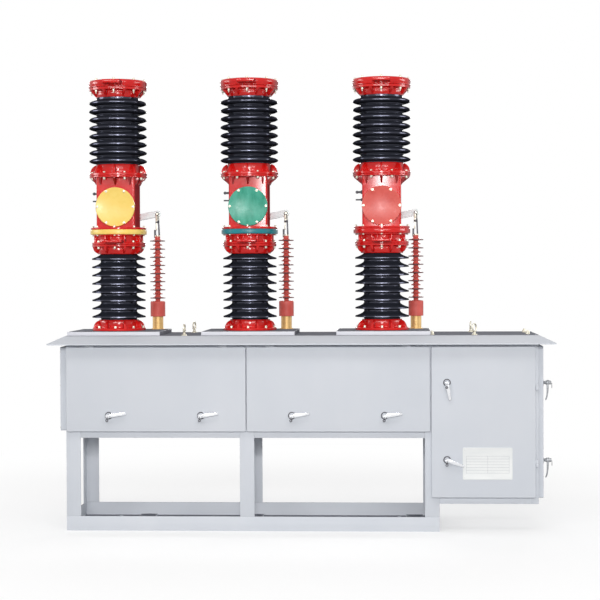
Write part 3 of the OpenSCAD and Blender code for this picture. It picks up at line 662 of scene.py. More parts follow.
def bolt_ring(pattern, at, radius, turn, upward=True, count=8):
    """Bolts of one pattern on a circle, heads up or down."""
    first = placed(twin(pattern), at + millimetres(radius, 0, 0), 0 if upward else 180, "X")
    return around(first, at, [turn + 360 / count * i for i in range(count)])


flange_bolt = hex_bolt(12, 10, 1.4, 0)
flange_nut = hex_bolt(11.5, 7, 1.4, 2)
cover_bolt = hex_bolt(10.5, 5.5, 1.2, 0)
flange_stud = hex_bolt(10.5, 10, 1.4, 9)
roof_nut = hex_bolt(20, 12, 2.4, 6)


# ---- insulators

def skirt_shed(core, tip, z, pitch):
    """A lower shed's outline: flat underside, upright drafted rim, hollow upper sweep."""
    return (
        [(core - 0.5, z - 10.4)]
        + sweep((core - 0.5, z - 10.4), (core - 0.4, z - 6.6), (core + 4, z - 6.3), 4)
        + [(tip - 9, z - 4.2), (tip - 2, z - 3.6), (tip - 0.5, z - 3.3), (tip, z - 2.8),
           (tip - 0.05, z - 2.3), (tip - 0.5, z + 2.5), (tip - 0.56, z + 3.0),
           (tip - 1.1, z + 3.6), (tip - 2.2, z + 4.1)]
        + sweep((tip - 4.5, z + 4.9), (core + 6, z + 15.5), (core, z + 27), 9)
        + [(core, z + pitch - 15.9)]
    )


def leaf_shed(core, tip, z, pitch):
    """An upper shed's outline: a full leaf with a blunt upright rim and a short throat."""
    reach = tip - core
    lens = [(reach * (1 - math.cos(math.radians(a))), math.sin(math.radians(a)) ** 1.3)
            for a in (17, 25, 34, 43, 53, 63, 74)]
    lower = [(tip - x, z - 12 * rise) for x, rise in reversed(lens[:-1])]
    upper = [(tip - x, z + 1.4 + 15.5 * rise) for x, rise in lens[1:]]
    return (
        [(core + 1.2, z - 18.5), (core + 4.4, z - 16.6), (core + 4.5, z - 16.1),
         (core + 4.8, z - 12.9), (core + 4.9, z - 12.4)] + lower
        + [(tip - 0.5, z - 1.9), (tip - 0.02, z - 1.1), (tip, z - 0.6), (tip, z + 3.9),
           (tip - 0.02, z + 4.4), (tip - 1.1, z + 5.4)]
        + upper + sweep((core + 3, z + 18.6), (core - 0.6, z + 20), (core + 0.2, z + pitch - 20), 5)
    )


def insulator(foot, height, core, tip, shed, first, last):
    """The moulded body of one insulator with its eight sheds."""
    pitch = (height - first - last) / 7
    outline = [(0, 14), (core, 14)]
    for i in range(8):
        outline += shed(core, tip, first + i * pitch, pitch)
    outline += [(core, height - 14), (0, height - 14)]
    return turned("insulator", outline, on_axis(foot), FINE)


lower_height = (lower_top - plate_top) / MM
upper_height = (upper_top - upper_foot) / MM
fitted(on_poles(insulator(plate_top, lower_height, lower_shed_r - 46, lower_shed_r,
                          skirt_shed, 72.5, 68.5)),
       "lower_insulator_sheds", "black_insulator", "lower_insulators", smooth=50)
fitted(on_poles(insulator(upper_foot, upper_height, upper_shed_r - 42, upper_shed_r - 1.5,
                          leaf_shed, 77, 82)),
       "upper_insulator_sheds", "black_insulator", "upper_insulators", smooth=50)


# ---- castings

def drawn_thin(rib, foot, height, share):
    """Narrows a rib across its thickness, from full width at its foot to a share at its top."""
    return thinned(rib, 2, foot, lambda z: 1 + (share - 1) * min(
        1, max(0, (z - foot.z) / (height * MM))))


def end_flange(foot, disc_r, collar_r, height, rib_line, turn, upside_down, thick=14):
    """A cast flange: disc, barrelled collar on a fillet, and eight wedge ribs."""
    centre = on_axis(foot)
    body = turned("flange_body", rim_line(collar_r - 14, disc_r, 0.4, thick, 1.6)[:5]
        + sweep((collar_r + 8, thick), (collar_r, thick), (collar_r, thick + 7), 4)
        + sweep((collar_r, thick + 7), (collar_r + 1.8, (thick + height) / 2),
                (collar_r - 1.4, height - 4), 5)
        + [(collar_r - 3.5, height), (collar_r - 9, height),
           (collar_r - 14, height - 3), (collar_r - 14, 0.4)], centre, FINE)
    rib = cut_plate("flange_rib", rib_line, centre, 19)
    drawn_thin(rib, centre, height, 0.22)
    eased(rib, 1.6)
    ribs = around(rib, centre, [turn + 45 * i for i in range(8)])
    flange = joined([body, ribs])
    if upside_down:
        mirror = Matrix.Translation(centre) @ Matrix.Scale(-1, 4, (0, 0, 1)) \
            @ Matrix.Translation(-centre)
        choose(moved(flange, mirror), "FACE", lambda c, n: True)
        faced_out()
    return flange


def curved_rib(collar_r, disc_r, height):
    """The bulging rib of the lower insulator's flanges."""
    top = height - 4
    return ([(collar_r - 6, 6), (disc_r - 1, 6), (disc_r - 1, 14)]
            + sweep((disc_r - 3.5, 22), (disc_r - 7, top * 0.83), (collar_r + 1, top), 7)
            + [(collar_r - 6, top)])


def straight_rib(collar_r, disc_r, height):
    """The straight rib of the upper insulator's flanges."""
    return [(collar_r - 6, 6), (disc_r - 5, 6), (disc_r - 5, 16), (disc_r - 9, 22),
            (collar_r + 4, height - 4), (collar_r - 6, height - 4)]


lower_flanges = joined([
    end_flange(plate_top, lower_flange_r, 108, 58,
               curved_rib(108, lower_flange_r, 58), 22.5, False),
    end_flange(lower_top + 8 * MM, lower_flange_r, 114, 51,
               curved_rib(114, lower_flange_r, 51), 22.5, True, 12),
])
fitted(on_poles(lower_flanges), "lower_flange_castings", "red_casting", "lower_insulator_flanges")
upper_flanges = joined([
    end_flange(upper_foot, upper_flange_r, 117, 64,
               curved_rib(117, upper_flange_r, 64), 0, False),
    end_flange(upper_top, upper_flange_r, 117, 51,
               straight_rib(117, upper_flange_r, 51), 22.5, True),
])
fitted(on_poles(upper_flanges), "upper_flange_castings", "red_casting", "upper_insulator_flanges")


def pad_drills(front, base):
    """Four drills through a terminal pad, at the pad's front end."""
    return [
        bar("drill", (pole_x[0] + sx * 22.5 * MM, front + (14 + 45 * row) * MM, base), 7, 80, 24)
        for sx in (-1, 1) for row in (0, 1)
    ]


def terminal_pad(low_z, high_z, front, width, draft):
    """A flat pad that reaches forward, its nose drafted, its corners round, its holes drilled."""
    half = width / 2 * MM
    pad = block("pad", (pole_x[0] - half, front, low_z), (pole_x[0] + half, 0, high_z))
    pulled(pad, "VERT", lambda p: p.y < front + 0.001 and p.z < low_z + 0.001,
           millimetres(0, draft, 0))
    rounded(pad, 3, lambda a, b: abs(a.z - b.z) > 0.003 and a.y < front + 0.003, 4)
    drilled(pad, pad_drills(front, low_z - 20 * MM))
    return eased(pad, 1.2)


def terminal_spool():
    """The ribbed spool between the lower insulator and the phase ring."""
    centre = on_axis(lower_top)
    height = (ring_low - lower_top) / MM
    core = lower_flange_r - 25
    body = turned("spool_body", rim_line(0, lower_flange_r, 8, 19, 1.6)[:5]
        + sweep((core + 6, 19), (core, 19), (core, 25), 4)
        + sweep((core, height - 12), (core, height - 6), (core + 6, height - 6), 4)
        + [(core + 17, height - 6), (core + 18, height - 5), (core + 18, height), (0, height),
           (0, 8)],
        centre, FINE)
    rib = cut_plate("spool_rib", [
        (core - 6, 12), (core + 19, 12), (core + 17, 20), (core + 17, height - 4),
        (core - 6, height - 4)], centre, 9)
    ribs = around(eased(rib, 1.4), centre, [22.5 + 45 * i for i in range(8)])
    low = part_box("terminal_spools")[0]
    pad = terminal_pad(lower_top + 17 * MM, lower_top + 28 * MM, low.y, 97, 0.0)
    webs = [
        eased(slab("pad_web", centre, (x - half, -(core + front), foot),
                   (x + half, back - core, height - 3)), 1.2)
        for x, half, front, back, foot in (
            (-51, 4, 19, 24, 18), (51, 4, 19, 24, 18), (-22, 3, 4, 14, 20), (12, 10, 4, 14, 20))
    ]
    return joined([body, ribs, pad] + webs)


fitted(on_poles(terminal_spool()), "terminal_spool_castings", "red_casting", "terminal_spools")


def crank_housing():
    """The crank housing: rounded box, two flanges, hanging gussets, boss and shaft boss."""
    x = pole_x[0]
    half = (housing_half - 1.5) * MM
    foot, top = ring_high - 4 * MM, upper_foot
    body = block("housing_body", (x - half, -half, foot), (x + half, half, top - 2 * MM))
    rounded(body, 10, lambda a, b: abs(a.z - b.z) > 0.1, 6)
    low_flange = turned("housing_foot", rim_line(90, ring_r - 2, 0, 11, 1.4), on_axis(foot), FINE)
    high_flange = turned("housing_top", rim_line(90, upper_flange_r, 0, 9.6, 1.6),
                         on_axis(top, -10), FINE)
    gussets = []
    for side in (-1, 0, 1):
        y = side * 0.77 * half
        reach = math.sqrt((upper_flange_r - 5) ** 2 - (y / MM) ** 2)
        at = Vector((x, y, top - 9.8 * MM))
        gusset = cut_plate("gusset", [
            (housing_half - 30, 0), (reach, 0), (reach - 1, -6), (housing_half + 3, -39),
            (housing_half - 1, -40), (housing_half - 30, -40)], at, 15)
        drawn_thin(gusset, at, -40, 0.42)
        gussets.append(eased(gusset, 1.8))
    gussets = around(joined(gussets), on_axis(top), [90 * i for i in range(4)])
    # the gussets take the darker copy of the red enamel, painted shade
    fitted(on_poles(gussets), "crank_housing_gussets", "red_casting-shaded")
    boss = facing_front(turned("cover_boss", [
        (0, -20), (disc_r - 1, -20), (disc_r - 1, 3.6), (disc_r - 2.2, 5), (0, 5)],
        steps=FINE), (x, disc_back + 5 * MM, disc_z))
    shaft_boss = turned("shaft_boss", [
        (15, -10), (44, -10), (44, 3), (42, 5)]
        + sweep((42, 5), (31, 6), (30, 18), 5)
        + [(30, 50), (33, 52), (33, 58.5), (31.5, 60), (16.5, 60), (15, 58.5), (15, -10)],
        steps=48)
    placed(shaft_boss, (x, half, crank_z), -90, "X")
    return joined([body, low_flange, high_flange, boss, shaft_boss])


fitted(on_poles(crank_housing()), "crank_housing_castings", "red_casting", "crank_housings")


def top_cap():
    """The domed end cap with a rolled upper edge and the upper terminal pad."""
    centre = on_axis(upper_top)
    height = (cap_top - upper_top) / MM
    r = upper_shed_r
    body = turned("cap_body", [
        (0, 0.4), (r - 1.8, 0.4), (r, 2.2), (r, 5.4), (r - 2.2, 7.2), (r - 1.4, 9),
        (r - 0.4, (height + 9) / 2 - 4), (r - 0.6, height - 17)]
        + sweep((r - 0.6, height - 16), (r - 1.5, height - 6.5), (r - 12, height - 5), 6)
        + [(r - 34, height - 5), (r - 36, height - 6.5), (0, height - 6.5)], centre, FINE)
    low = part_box("top_caps")[0]
    pad = terminal_pad(cap_top - 35 * MM, cap_top - 17 * MM, low.y, 91, 0.7)
    raised = turned("cap_raised", [
        (0, height - 8), (72, height - 8), (72, height - 1.2), (70.5, height), (0, height)],
        centre, 64)
    return joined([body, pad, raised])


fitted(on_poles(top_cap()), "top_cap_castings", "red_casting", "top_caps")

ring_slots = ("phase_yellow", "ring_teal", "red_casting")
disc_slots = ("phase_yellow", "phase_green", "phase_red")
ring = turned("phase_ring", [
    (0, 0.3), (ring_r - 4.5, 0.3)]
    + arc((ring_r - 3.5, 4.8), 4.5, -90, -10, 4)
    + sweep((ring_r + 1, 5.6), (ring_r + 1.8, 14), (ring_r + 0.4, 22.4), 4)
    + arc((ring_r - 4.1, (ring_high - ring_low) / MM - 8.8), 4.5, 10, 90, 4)
    + [(0, (ring_high - ring_low) / MM - 4.3)],
    on_axis(ring_low), FINE)
disc = facing_front(turned("phase_disc", [
    (0, 0), (disc_r, 0), (disc_r, 5.4), (disc_r - 1, 7.4), (disc_r - 2.8, 8.8), (disc_r - 4, 9),
    (disc_r - 5, 8.6), (0, 8.6)], steps=FINE), (pole_x[0], disc_back, disc_z))
for pole, shift, ring_slot, disc_slot in zip(POLES, pole_shifts, ring_slots, disc_slots):
    fitted(placed(twin(ring), shift), "phase_ring_band_" + pole, ring_slot,
           "phase_ring_" + pole)
    fitted(placed(twin(disc), shift), "phase_cover_plate_" + pole, disc_slot,
           "phase_cover_" + pole)
discard([ring, disc])

flange_rings = [
    bolt_ring(flange_bolt, on_axis(plate_top, 14), lower_flange_r - 13, 0),
    bolt_ring(flange_bolt, on_axis(lower_top, -4), lower_flange_r - 11, 0, False),
    bolt_ring(flange_nut, on_axis(lower_top, 19), lower_flange_r - 11, 0),
    bolt_ring(cover_bolt, on_axis(ring_low), ring_r - 13, 0, False),
    bolt_ring(flange_nut, on_axis(ring_high, 7), ring_r - 12, 0),
    bolt_ring(flange_bolt, on_axis(upper_foot, -10), upper_flange_r - 12, 22.5, False),
    bolt_ring(cover_bolt, on_axis(upper_foot, 14), upper_flange_r - 12, 22.5),
    bolt_ring(flange_stud, on_axis(upper_top, -14), upper_flange_r - 12, 0, False),
    bolt_ring(flange_nut, on_axis(cap_top, -6), upper_shed_r - 14, 0),
]
fitted(on_poles(joined(flange_rings)), "flange_bolts", "galvanised_steel")
cover_bolts = [
    facing_front(twin(cover_bolt), (pole_x[0] + x * MM, disc_low.y, disc_z + z * MM))
    for x, z in arc((0, 0), 95, 0, 300, 5)
]
fitted(on_poles(joined(cover_bolts)), "cover_bolts", "galvanised_steel")


def side_fittings():
    """A hexagon plug with a ring, and a slim valve pin, on the housing's left face."""
    x = pole_x[0] - (housing_half - 3) * MM
    pieces = []
    for drop, flats, stem_r, tip_r, ringed in ((92, 20, 6, 4.5, True), (132, 15, 4, 3, False)):
        stem = turned("fitting_stem", [
            (0, 8), (stem_r, 8), (stem_r, 35), (tip_r, 37), (0, 37)], steps=20)
        parts = [hex_bolt(flats, 7, 2, 0), stem]
        if ringed:
            parts.append(stock("fitting_ring", bpy.ops.mesh.primitive_torus_add,
                               major_radius=6.5 * MM, minor_radius=1.6 * MM, major_segments=28,
                               minor_segments=10, location=(0, 0, 29.5 * MM),
                               rotation=(math.pi / 2, 0, 0)))
        pieces.append(placed(joined(parts), (x, 0, upper_foot - drop * MM), -90, "Y"))
    return joined(pieces)


fitted(on_poles(side_fittings()), "side_valve_fittings", "galvanised_steel-dark", "side_fittings")


# ---- pull rods and tubes

rod_low, rod_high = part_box("pull_rod_a")
rod_axis = Vector(((rod_low.x + rod_high.x) / 2, (rod_low.y + rod_high.y) / 2, 0))
tube_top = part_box("guide_tubes")[1].z
pin_z = rod_high.z - 12 * MM
boot_foot = tube_top - 3 * MM
rod_foot = boot_foot + 83 * MM
rod_head = pin_z - 130 * MM


def at_rod(z):
    return (rod_axis.x, rod_axis.y, z)


def rod_insulator():
    """The silicone rod: boot with a round shoulder, coned core, big and small sheds by turns."""
    length = (rod_head - rod_foot) / MM
    first, last = 17, 17
    pitch = (length - first - last) / 7
    outline = [(12, -11), (30.6, -11), (30.6, -82.4), (31.2, -83), (39.4, -83), (40, -82.4),
               (40, -8)]
    outline += sweep((40, -8), (40, -1), (33, -0.5), 5) + [(16, 0.5), (13, 2.5)]
    for i in range(8):
        z = first + i * pitch
        outline += [(12.5, z - 9), (14.5, z - 4.6), (19, z - 3.6), (39.8, z - 2.6), (41, z - 1.8),
                    (41, z + 1.8), (39.8, z + 2.6), (21, z + 4.4), (16.5, z + 8)]
        if i < 7:
            z += pitch / 2
            outline += [(12.5, z - 7), (14.5, z - 4), (17, z - 3.2), (24.8, z - 2.4),
                        (25.8, z - 1.6), (25.8, z + 1.6), (24.8, z + 2.4), (18, z + 4),
                        (15.5, z + 7)]
    outline += [(13, length - 6), (14.5, length - 4), (14.5, length + 6), (13, length + 8),
                (0, length + 8),
                (0, -11), (12, -11)]
    rod = turned("rod_insulator", outline, at_rod(rod_foot), 64)
    # a rim value that grows towards the big sheds' edge, by which the silicone finish paints shade
    # on the rims
    rims = rod.data.attributes.new("rim", "FLOAT", "POINT")
    for corner, rim in zip(rod.data.vertices, rims.data):
        reach = (corner.co - Vector(at_rod(corner.co.z))).length / (41 * MM)
        rim.value = reach if corner.co.z > rod_foot + 4 * MM else 0
    return rod


def rod_steel():
    """Bright steel of the pull rod: stem, collar, fork with its base, and pin."""
    stem = turned("rod_stem", [
        (0, 0), (12, 0), (13, 1), (13, 134), (0, 134)], at_rod(rod_low.z), 40)
    collar = turned("rod_collar", [
        (0, -1), (15, -1), (16, 0), (16, 5), (14.5, 6.5), (0, 6.5)], at_rod(rod_head + 8 * MM), 32)
    yoke = slab("fork_base", at_rod(pin_z), (-9, -11.8, -38), (9, 11.8, -30))
    cheeks = []
    for side in (-1, 1):
        cheek = cut_plate("fork_cheek", [(-9, -32), (9, -32)] + arc((0, 0), 10.5, -25, 205, 14),
                          (rod_axis.x, rod_axis.y + side * 8.8 * MM, pin_z), 6)
        cheeks.append(eased(cheek, 0.7))
    strap = slab("left_strap", at_rod(rod_head), (-9, -5, 40), (-3, 5, 94))
    pin = facing_front(turned("fork_pin", rim_line(0, 5.4, -17.8, 17.8, 0.8), steps=24),
                       at_rod(pin_z))
    return joined([stem, collar, eased(yoke, 0.8), eased(strap, 0.8), pin] + cheeks)


def rod_blackened():
    """Blackened steel of the pull rod: two prongs, the long bar, its nut and the pin's nuts."""
    prong = slab("prong", at_rod(rod_head), (-18, -7, 0), (-8, 7, 44))
    rounded(prong, 6, lambda a, b: abs(a.x - b.x) > 0.003 and a.z > rod_head + 0.03, 4)
    link = slab("link_strip", at_rod(pin_z), (2, -14.5, -40), (8, -11.6, -8))
    long_bar = slab("long_bar", at_rod(rod_head), (6, -6, 0), (14, 6, 100))
    pulled(long_bar, "VERT", lambda p: p.z > pin_z - 0.04, millimetres(-4, 0, 0))
    nut = bar("bar_nut", at_rod(pin_z - 50 * MM), 12, 9, 6)
    pieces = [eased(prong, 0.8), eased(link, 0.6), eased(long_bar, 0.8), eased(nut, 0.8)]
    for side in (-1, 1):
        ring = turned("pin_ring", rim_line(5.5, 10.4, 0, 3.8, 0.8), steps=6)
        pieces.append(placed(facing_front(ring), (rod_axis.x, rod_axis.y + side * 11.7 * MM, pin_z),
                             90 + 90 * side))
    return joined(pieces)


rod_patterns = [rod_insulator(), rod_steel(), rod_blackened()]
for pole, shift in zip(POLES, pole_shifts):
    rod, arm = "pull_rod_" + pole, "crank_arm_" + pole
    silicone, steel, links = (placed(twin(pattern), shift) for pattern in rod_patterns)
    fitted(silicone, "rod_insulator_" + pole, "rod_insulator", rod, body=rod)
    fitted(steel, "rod_clevis_" + pole, "galvanised_steel", body=rod)
    fitted(links, "rod_links_" + pole, "galvanised_steel-dark", body=rod)
    eased_node(arm, 4.4, "galvanised_steel-arm", arm, 3)
    hub_nut = placed(facing_front(hex_bolt(30, 8, 0.8, 0)),
                     (pole_x[0] + shift.x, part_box(arm)[1].y - 1 * MM, crank_z), 180)
    fitted(hub_nut, "crank_nut_" + pole, "galvanised_steel", body=arm)
discard(rod_patterns)

tube_height = (tube_top - plate_top) / MM
fitted(on_poles(turned("guide_tube", [
    (13.1, 0), (36, 0), (36, 2.8), (34.8, 3.8), (29, 4.2), (29, tube_height - 1.2),
    (28, tube_height), (13.1, tube_height), (13.1, 0)], at_rod(plate_top), 64)),
    "guide_tube_brass", "brass", "guide_tubes")


# ---- roof and its fittings

eave_low, eave_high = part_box("roof_eaves")
flat_low, flat_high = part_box("roof_top")
box_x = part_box("box_corner_posts")[1].x


def roof_sheet():
    """One folded sheet: flat top, four sloping eaves and an upright lip."""
    reach = flat_low.x - eave_low.x
    drop = EAVE_DROP * MM
    sheet = block("roof", (eave_low.x, eave_low.y, eave_low.z),
                  (eave_high.x, eave_high.y, flat_high.z - drop))
    pulled(sheet, "FACE", lambda c, n: n.z > 0.9, (0, 0, drop), reach)
    hollowed(sheet, ROOF_WALL, lambda c, n: n.z < -0.9, even=True)
    drilled(sheet, [placed(bar("drill", at_rod(flat_high.z - 20 * MM), STEM_HOLE_R, 40), shift)
                    for shift in pole_shifts])
    return eased(sheet, 1.0, 2, 20)


fitted(roof_sheet(), "roof_sheet", "cabinet_paint", "roof_top", "roof_eaves", smooth=15)

plates_low, plates_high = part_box("pole_plates")
plate = block("mounting_plate", (plates_low.x, plates_low.y, plates_low.z),
              (pole_x[0] + plates_high.x - pole_x[2], plates_high.y, plates_high.z))
rounded(plate, 3, lambda a, b: abs(a.z - b.z) > 0.01, 3)
drilled(plate, [bar("drill", at_rod(plates_low.z - 10 * MM), STEM_HOLE_R, 40)])
fitted(on_poles(eased(plate, 1.4)), "mounting_plates", "cabinet_paint-plates", "pole_plates")


def eyebolt(at, turn):
    """A lifting eye: coned foot on a washer, and a slim forged ring turned as it was left."""
    at = Vector(at)
    foot = turned("eye_foot", [
        (0, 0), (15.5, 0), (16, 1), (15.5, 3)]
        + sweep((12, 4), (7, 8), (5, 20), 5) + [(0, 21)], at, 32)
    ring = stock("eye_ring", bpy.ops.mesh.primitive_torus_add, major_radius=19.5 * MM,
                 minor_radius=4.2 * MM, major_segments=48, minor_segments=16,
                 location=at + millimetres(0, 0, 38),
                 rotation=(math.pi / 2, 0, math.radians(turn)))
    choose(ring, "VERT", lambda p: p.z < at.z + 26 * MM)
    bpy.ops.transform.resize(value=(1.25, 1.25, 1.0), center_override=at + millimetres(0, 0, 20))
    done()
    return joined([foot, ring])


eyes_low, eyes_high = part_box("lifting_eyes")
eye_spots = [
    (x, y, roof_top_z)
    for x in ends_of(eyes_low.x, eyes_high.x, 17)
    for y in ends_of(eyes_low.y, eyes_high.y, 25)
]
fitted(joined([eyebolt(spot, turn) for spot, turn in zip(eye_spots, (86, 78, 60, 84))]),
       "lifting_eyebolts", "galvanised_steel", "lifting_eyes")
roof_spots = [
    (box_x - inset * MM, y * MM, roof_top_z)
    for inset, y in ((42, -110), (42, 130), (540, -190))
]
fitted(joined([placed(twin(roof_nut), spot) for spot in roof_spots]),
       "roof_nuts", "galvanised_steel")


# ---- stand and cabinet

for node, width in (
        ("base_long_rails", 1.6), ("base_cross_members", 1.4), ("front_posts", 1.6),
        ("rear_posts", 1.6), ("cabinet_bottom_rails", 1.4), ("box_corner_posts", 0.9),
        ("box_rails", 0.9), ("box_left_wall", 0.9), ("box_back_wall", 0.9), ("box_floor", 0.9),
        ("cabinet_top_rails", 1.2), ("cabinet_floor", 0.8)):
    eased_node(node, width)


def pressed_cover(width, height, depth, at, degrees=0):
    """A cover pressed from one sheet: round corners, rolled front edge, open back."""
    cover = block("cover", (0, -depth, 0), (width, 0, height))
    rounded(cover, 8, lambda a, b: abs(a.y - b.y) > depth * 0.9, 5)
    rounded(cover, 3.2, lambda a, b: max(a.y, b.y) < -depth + 1e-5, 4)
    return placed(hollowed(cover, COVER_WALL, lambda c, n: n.y > 0.9), at, degrees)


front_boxes = [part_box("front_cover_left"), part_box("front_cover_right")]
cover_top = front_boxes[0][1].z - 11 * MM
cover_back = frame_front - SEAL_GAP * MM
cover_depth = cover_back - door_face
cover_hinge = (door_face + 2 * MM, cover_top + 6 * MM)


def rosette(spindle):
    """A coned rosette under a handle, facing -Y."""
    shape = turned("rosette", [
        (8.2, 0), (17, 0), (17, 1.2), (15.8, 2.6), (13, 4), (8.2, 4), (8.2, 0)], steps=40)
    return facing_front(shape, spindle)


def knuckle(at, half, radius, bore):
    """The moving half of a hinge barrel, upright, standing on at."""
    return turned("knuckle", rim_line(bore, radius, 0, half, 0.6), at, 32)


def door_knuckles(hinge, low, high):
    """A door's moving hinge halves; each leaf lies between two corners beside the pin."""
    return [piece for z in hinge_levels for piece in (
        knuckle((*hinge, z + 0.3 * MM), 18.7, 8, 3.05),
        eased(slab("leaf", (*hinge, z), low, high), 0.4))]


COVER_HANDLES = [f"cover_handle_{i}" for i in range(1, 5)]
DOOR_HANDLES = ["door_handle_lower", "door_handle_upper"]


def spindle_of(node, up=True):
    """Where a handle's spindle meets the sheet, from the corner of the handle's box."""
    low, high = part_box(node)
    inset = SPINDLE_INSET * MM
    return Vector((low.x + inset, door_face, low.z + inset if up else high.z - inset))


for i, (low, high) in enumerate(front_boxes):
    cover = pressed_cover(high.x - low.x, cover_top - low.z, cover_depth,
                          (low.x, cover_back, low.z))
    parts = [cover] + [rosette(spindle_of(n)) for n in COVER_HANDLES[2 * i:2 * i + 2]]
    for x in ends_of(low.x, high.x, 120):
        pin = (x, *cover_hinge)
        parts += [placed(knuckle((0, 0, 0.5 * MM), 22, 5, 2.05), pin, 90, "Y"),
                  eased(slab("leaf", pin, (0.5, -2, -8), (22.5, 3, -3)), 0.4)]
    node = "front_cover_" + ("left", "right")[i]
    fitted(joined(parts), node + "_sheet", "cabinet_paint-leaf", node, body=node)

door_low, door_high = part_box("mechanism_door")
door_right = door_high.x - 17 * MM
hinge_levels = (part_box("door_hinges")[0].z + 19 * MM, cover_top - 202 * MM)
door_hinge = (door_right + 9 * MM, frame_front - 12 * MM)
door = pressed_cover(door_right - door_low.x, door_high.z - door_low.z, cover_depth,
                     (door_low.x, cover_back, door_low.z))
parts = [door] + [rosette(spindle_of(n, up=False)) for n in DOOR_HANDLES]
parts += door_knuckles(door_hinge, (-10, -8, 0.3), (-3.5, -4, 19))
fitted(joined(parts), "mechanism_door_sheet", "cabinet_paint-leaf", "mechanism_door",
       body="mechanism_door")

side_low, side_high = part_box("side_door")
side_half = -side_low.y
side_depth = side_high.x - 4 * MM - side_low.x
door = pressed_cover(2 * side_half, side_high.z - side_low.z, side_depth, side_low, 90)
side_face = side_low.x + side_depth
side_hinge = (box_x + 12 * MM, side_half + 9 * MM)
side_spindles = {}
parts = [door]
for node in ("side_handle_lower", "side_handle_upper"):
    low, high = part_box(node)
    inset = SPINDLE_INSET * MM
    side_spindles[node] = Vector((side_face, low.y + inset, high.z - inset))
    parts.append(placed(rosette((0, 0, 0)), side_spindles[node], 90))
parts += door_knuckles(side_hinge, (3.5, -10, 0.3), (8, -1, 19))
fitted(joined(parts), "side_door_sheet", "cabinet_paint-leaf", "side_door", body="side_door")
eased_node("door_hinges", 0.4)

rear_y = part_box("rear_covers")[0].y
rear = []
for low, high in front_boxes:
    rear.append(pressed_cover(high.x - low.x, cover_top - low.z, REAR_COVER_DEPTH * MM,
                              (high.x, rear_y, low.z), 180))
    for x in (*ends_of(low.x, high.x, 60), (low.x + high.x) / 2):
        for z in ends_of(low.z, cover_top, 30):
            rear.append(placed(twin(cover_bolt), (x, rear_y + REAR_COVER_DEPTH * MM, z), -90, "X"))
fitted(joined(rear), "rear_cover_sheets", "cabinet_paint", "rear_covers")

end_low, end_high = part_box("left_end_cover")
end_cover = pressed_cover(end_high.y - end_low.y, end_high.z - end_low.z, end_high.x - end_low.x,
                          (end_high.x, end_high.y, end_low.z), -90)
fitted(end_cover, "left_end_cover_sheet", "cabinet_paint", "left_end_cover")
screw = turned("screw", [(0, 0), (6.5, 0), (6.3, 1.6), (4.6, 3.2), (1.6, 3.8), (0, 3.8)],
               steps=20)
screws = [
    placed(twin(screw), (end_low.x, side * (side_half - 16 * MM), height * MM), -90, "Y")
    for side in (-1, 1) for height in (530, 750, 925)
]
discard([screw])
fitted(joined(screws), "end_cover_screws", "galvanised_steel")


# ---- handles and plate

def lever_handle():
    """An L-handle facing -Y: spindle, round head with a lock, tapered lever and a hanging key."""
    grip = facing_front(turned("grip", [
        (0, -8), (8, -8), (8, 12), (9.4, 14), (9.6, 17), (12.4, 19), (13, 20.5), (13, 31),
        (11.6, 33), (10.6, 34), (10.6, 41), (9.4, 43.2), (7.2, 44), (6.8, 43.2), (0, 43.2)],
        steps=40))
    lever = cut_plate("lever", [
        (0, 21), (50, 21), (66, 19.6), (78, 17), (88, 13.4), (92, 14.5), (91, 17.5), (82, 22),
        (70, 25.5), (52, 28.4), (26, 30.6), (0, 31)], (0, 0, 0), 21)
    thinned(lever, 0, (0, 0, 0), lambda x: 1 - 0.42 * max(0, x / 0.092) ** 1.1)
    return joined([grip, eased(facing_front(lever), 2.2, 3, 30)])


def handle_rosette():
    """The dark rosette under a handle, with the lock's key hanging from it on a short link."""
    rosette = facing_front(turned("rosette", [
        (0, -1), (18.4, -1), (19.4, 0), (19.4, 2.4), (18, 3.6), (0, 3.6)], steps=40))
    shank = slab("key", (0, 0, 0), (-1.6, -48, -16), (1.6, -45.5, -2))
    bow = facing_front(turned("key_bow", rim_line(3, 7.5, -1, 1, 0.5), steps=24),
                       millimetres(0, -46.8, -22))
    key = placed(joined([eased(shank, 0.4), bow]), (0, 0, 0), 6, "Y")
    return joined([rosette, key])


pattern = lever_handle()
handle_places = [(n, Matrix.Translation(spindle_of(n)), -7) for n in COVER_HANDLES]
handle_places += [
    (n, Matrix.Translation(spindle_of(n, up=False)), down) for n, down in zip(DOOR_HANDLES, (20, 80))
]
handle_places += [
    (n, Matrix.Translation(spot) @ Matrix.Rotation(math.pi / 2, 4, "Z"), 88)
    for n, spot in side_spindles.items()
]
for node, place, down in handle_places:
    slot = "chrome_handle-shaded" if node.startswith("side") else "chrome_handle"
    fitted(moved(placed(twin(pattern), (0, 0, 0), down, "Y"), place), node + "_lever", slot, node,
           body=node, smooth=40)
    fitted(moved(handle_rosette(), place), node + "_rosette", "galvanised_steel-dark", body=node)
discard([pattern])

name_low, name_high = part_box("nameplate")
plate = block("plate", name_low, name_high)
rounded(plate, 6, lambda a, b: abs(a.y - b.y) > 0.001, 5)
pulled(plate, "FACE", lambda c, n: n.y < -0.9, millimetres(0, 0.5, 0), 3.5 * MM)
rivet = turned("rivet", [(0, -1), (3.6, -1), (3.4, 0.6), (2.2, 1.4), (0, 1.7)], steps=20)
rivets = [
    facing_front(twin(rivet), (x, name_low.y + 0.5 * MM, z))
    for x in ends_of(name_low.x, name_high.x, 11)
    for z in ends_of(name_low.z, name_high.z, 11)
]
discard([rivet])
fitted(joined([eased(plate, 0.4)] + rivets), "blank_nameplate", "plate_aluminium",
       "nameplate", body="mechanism_door")

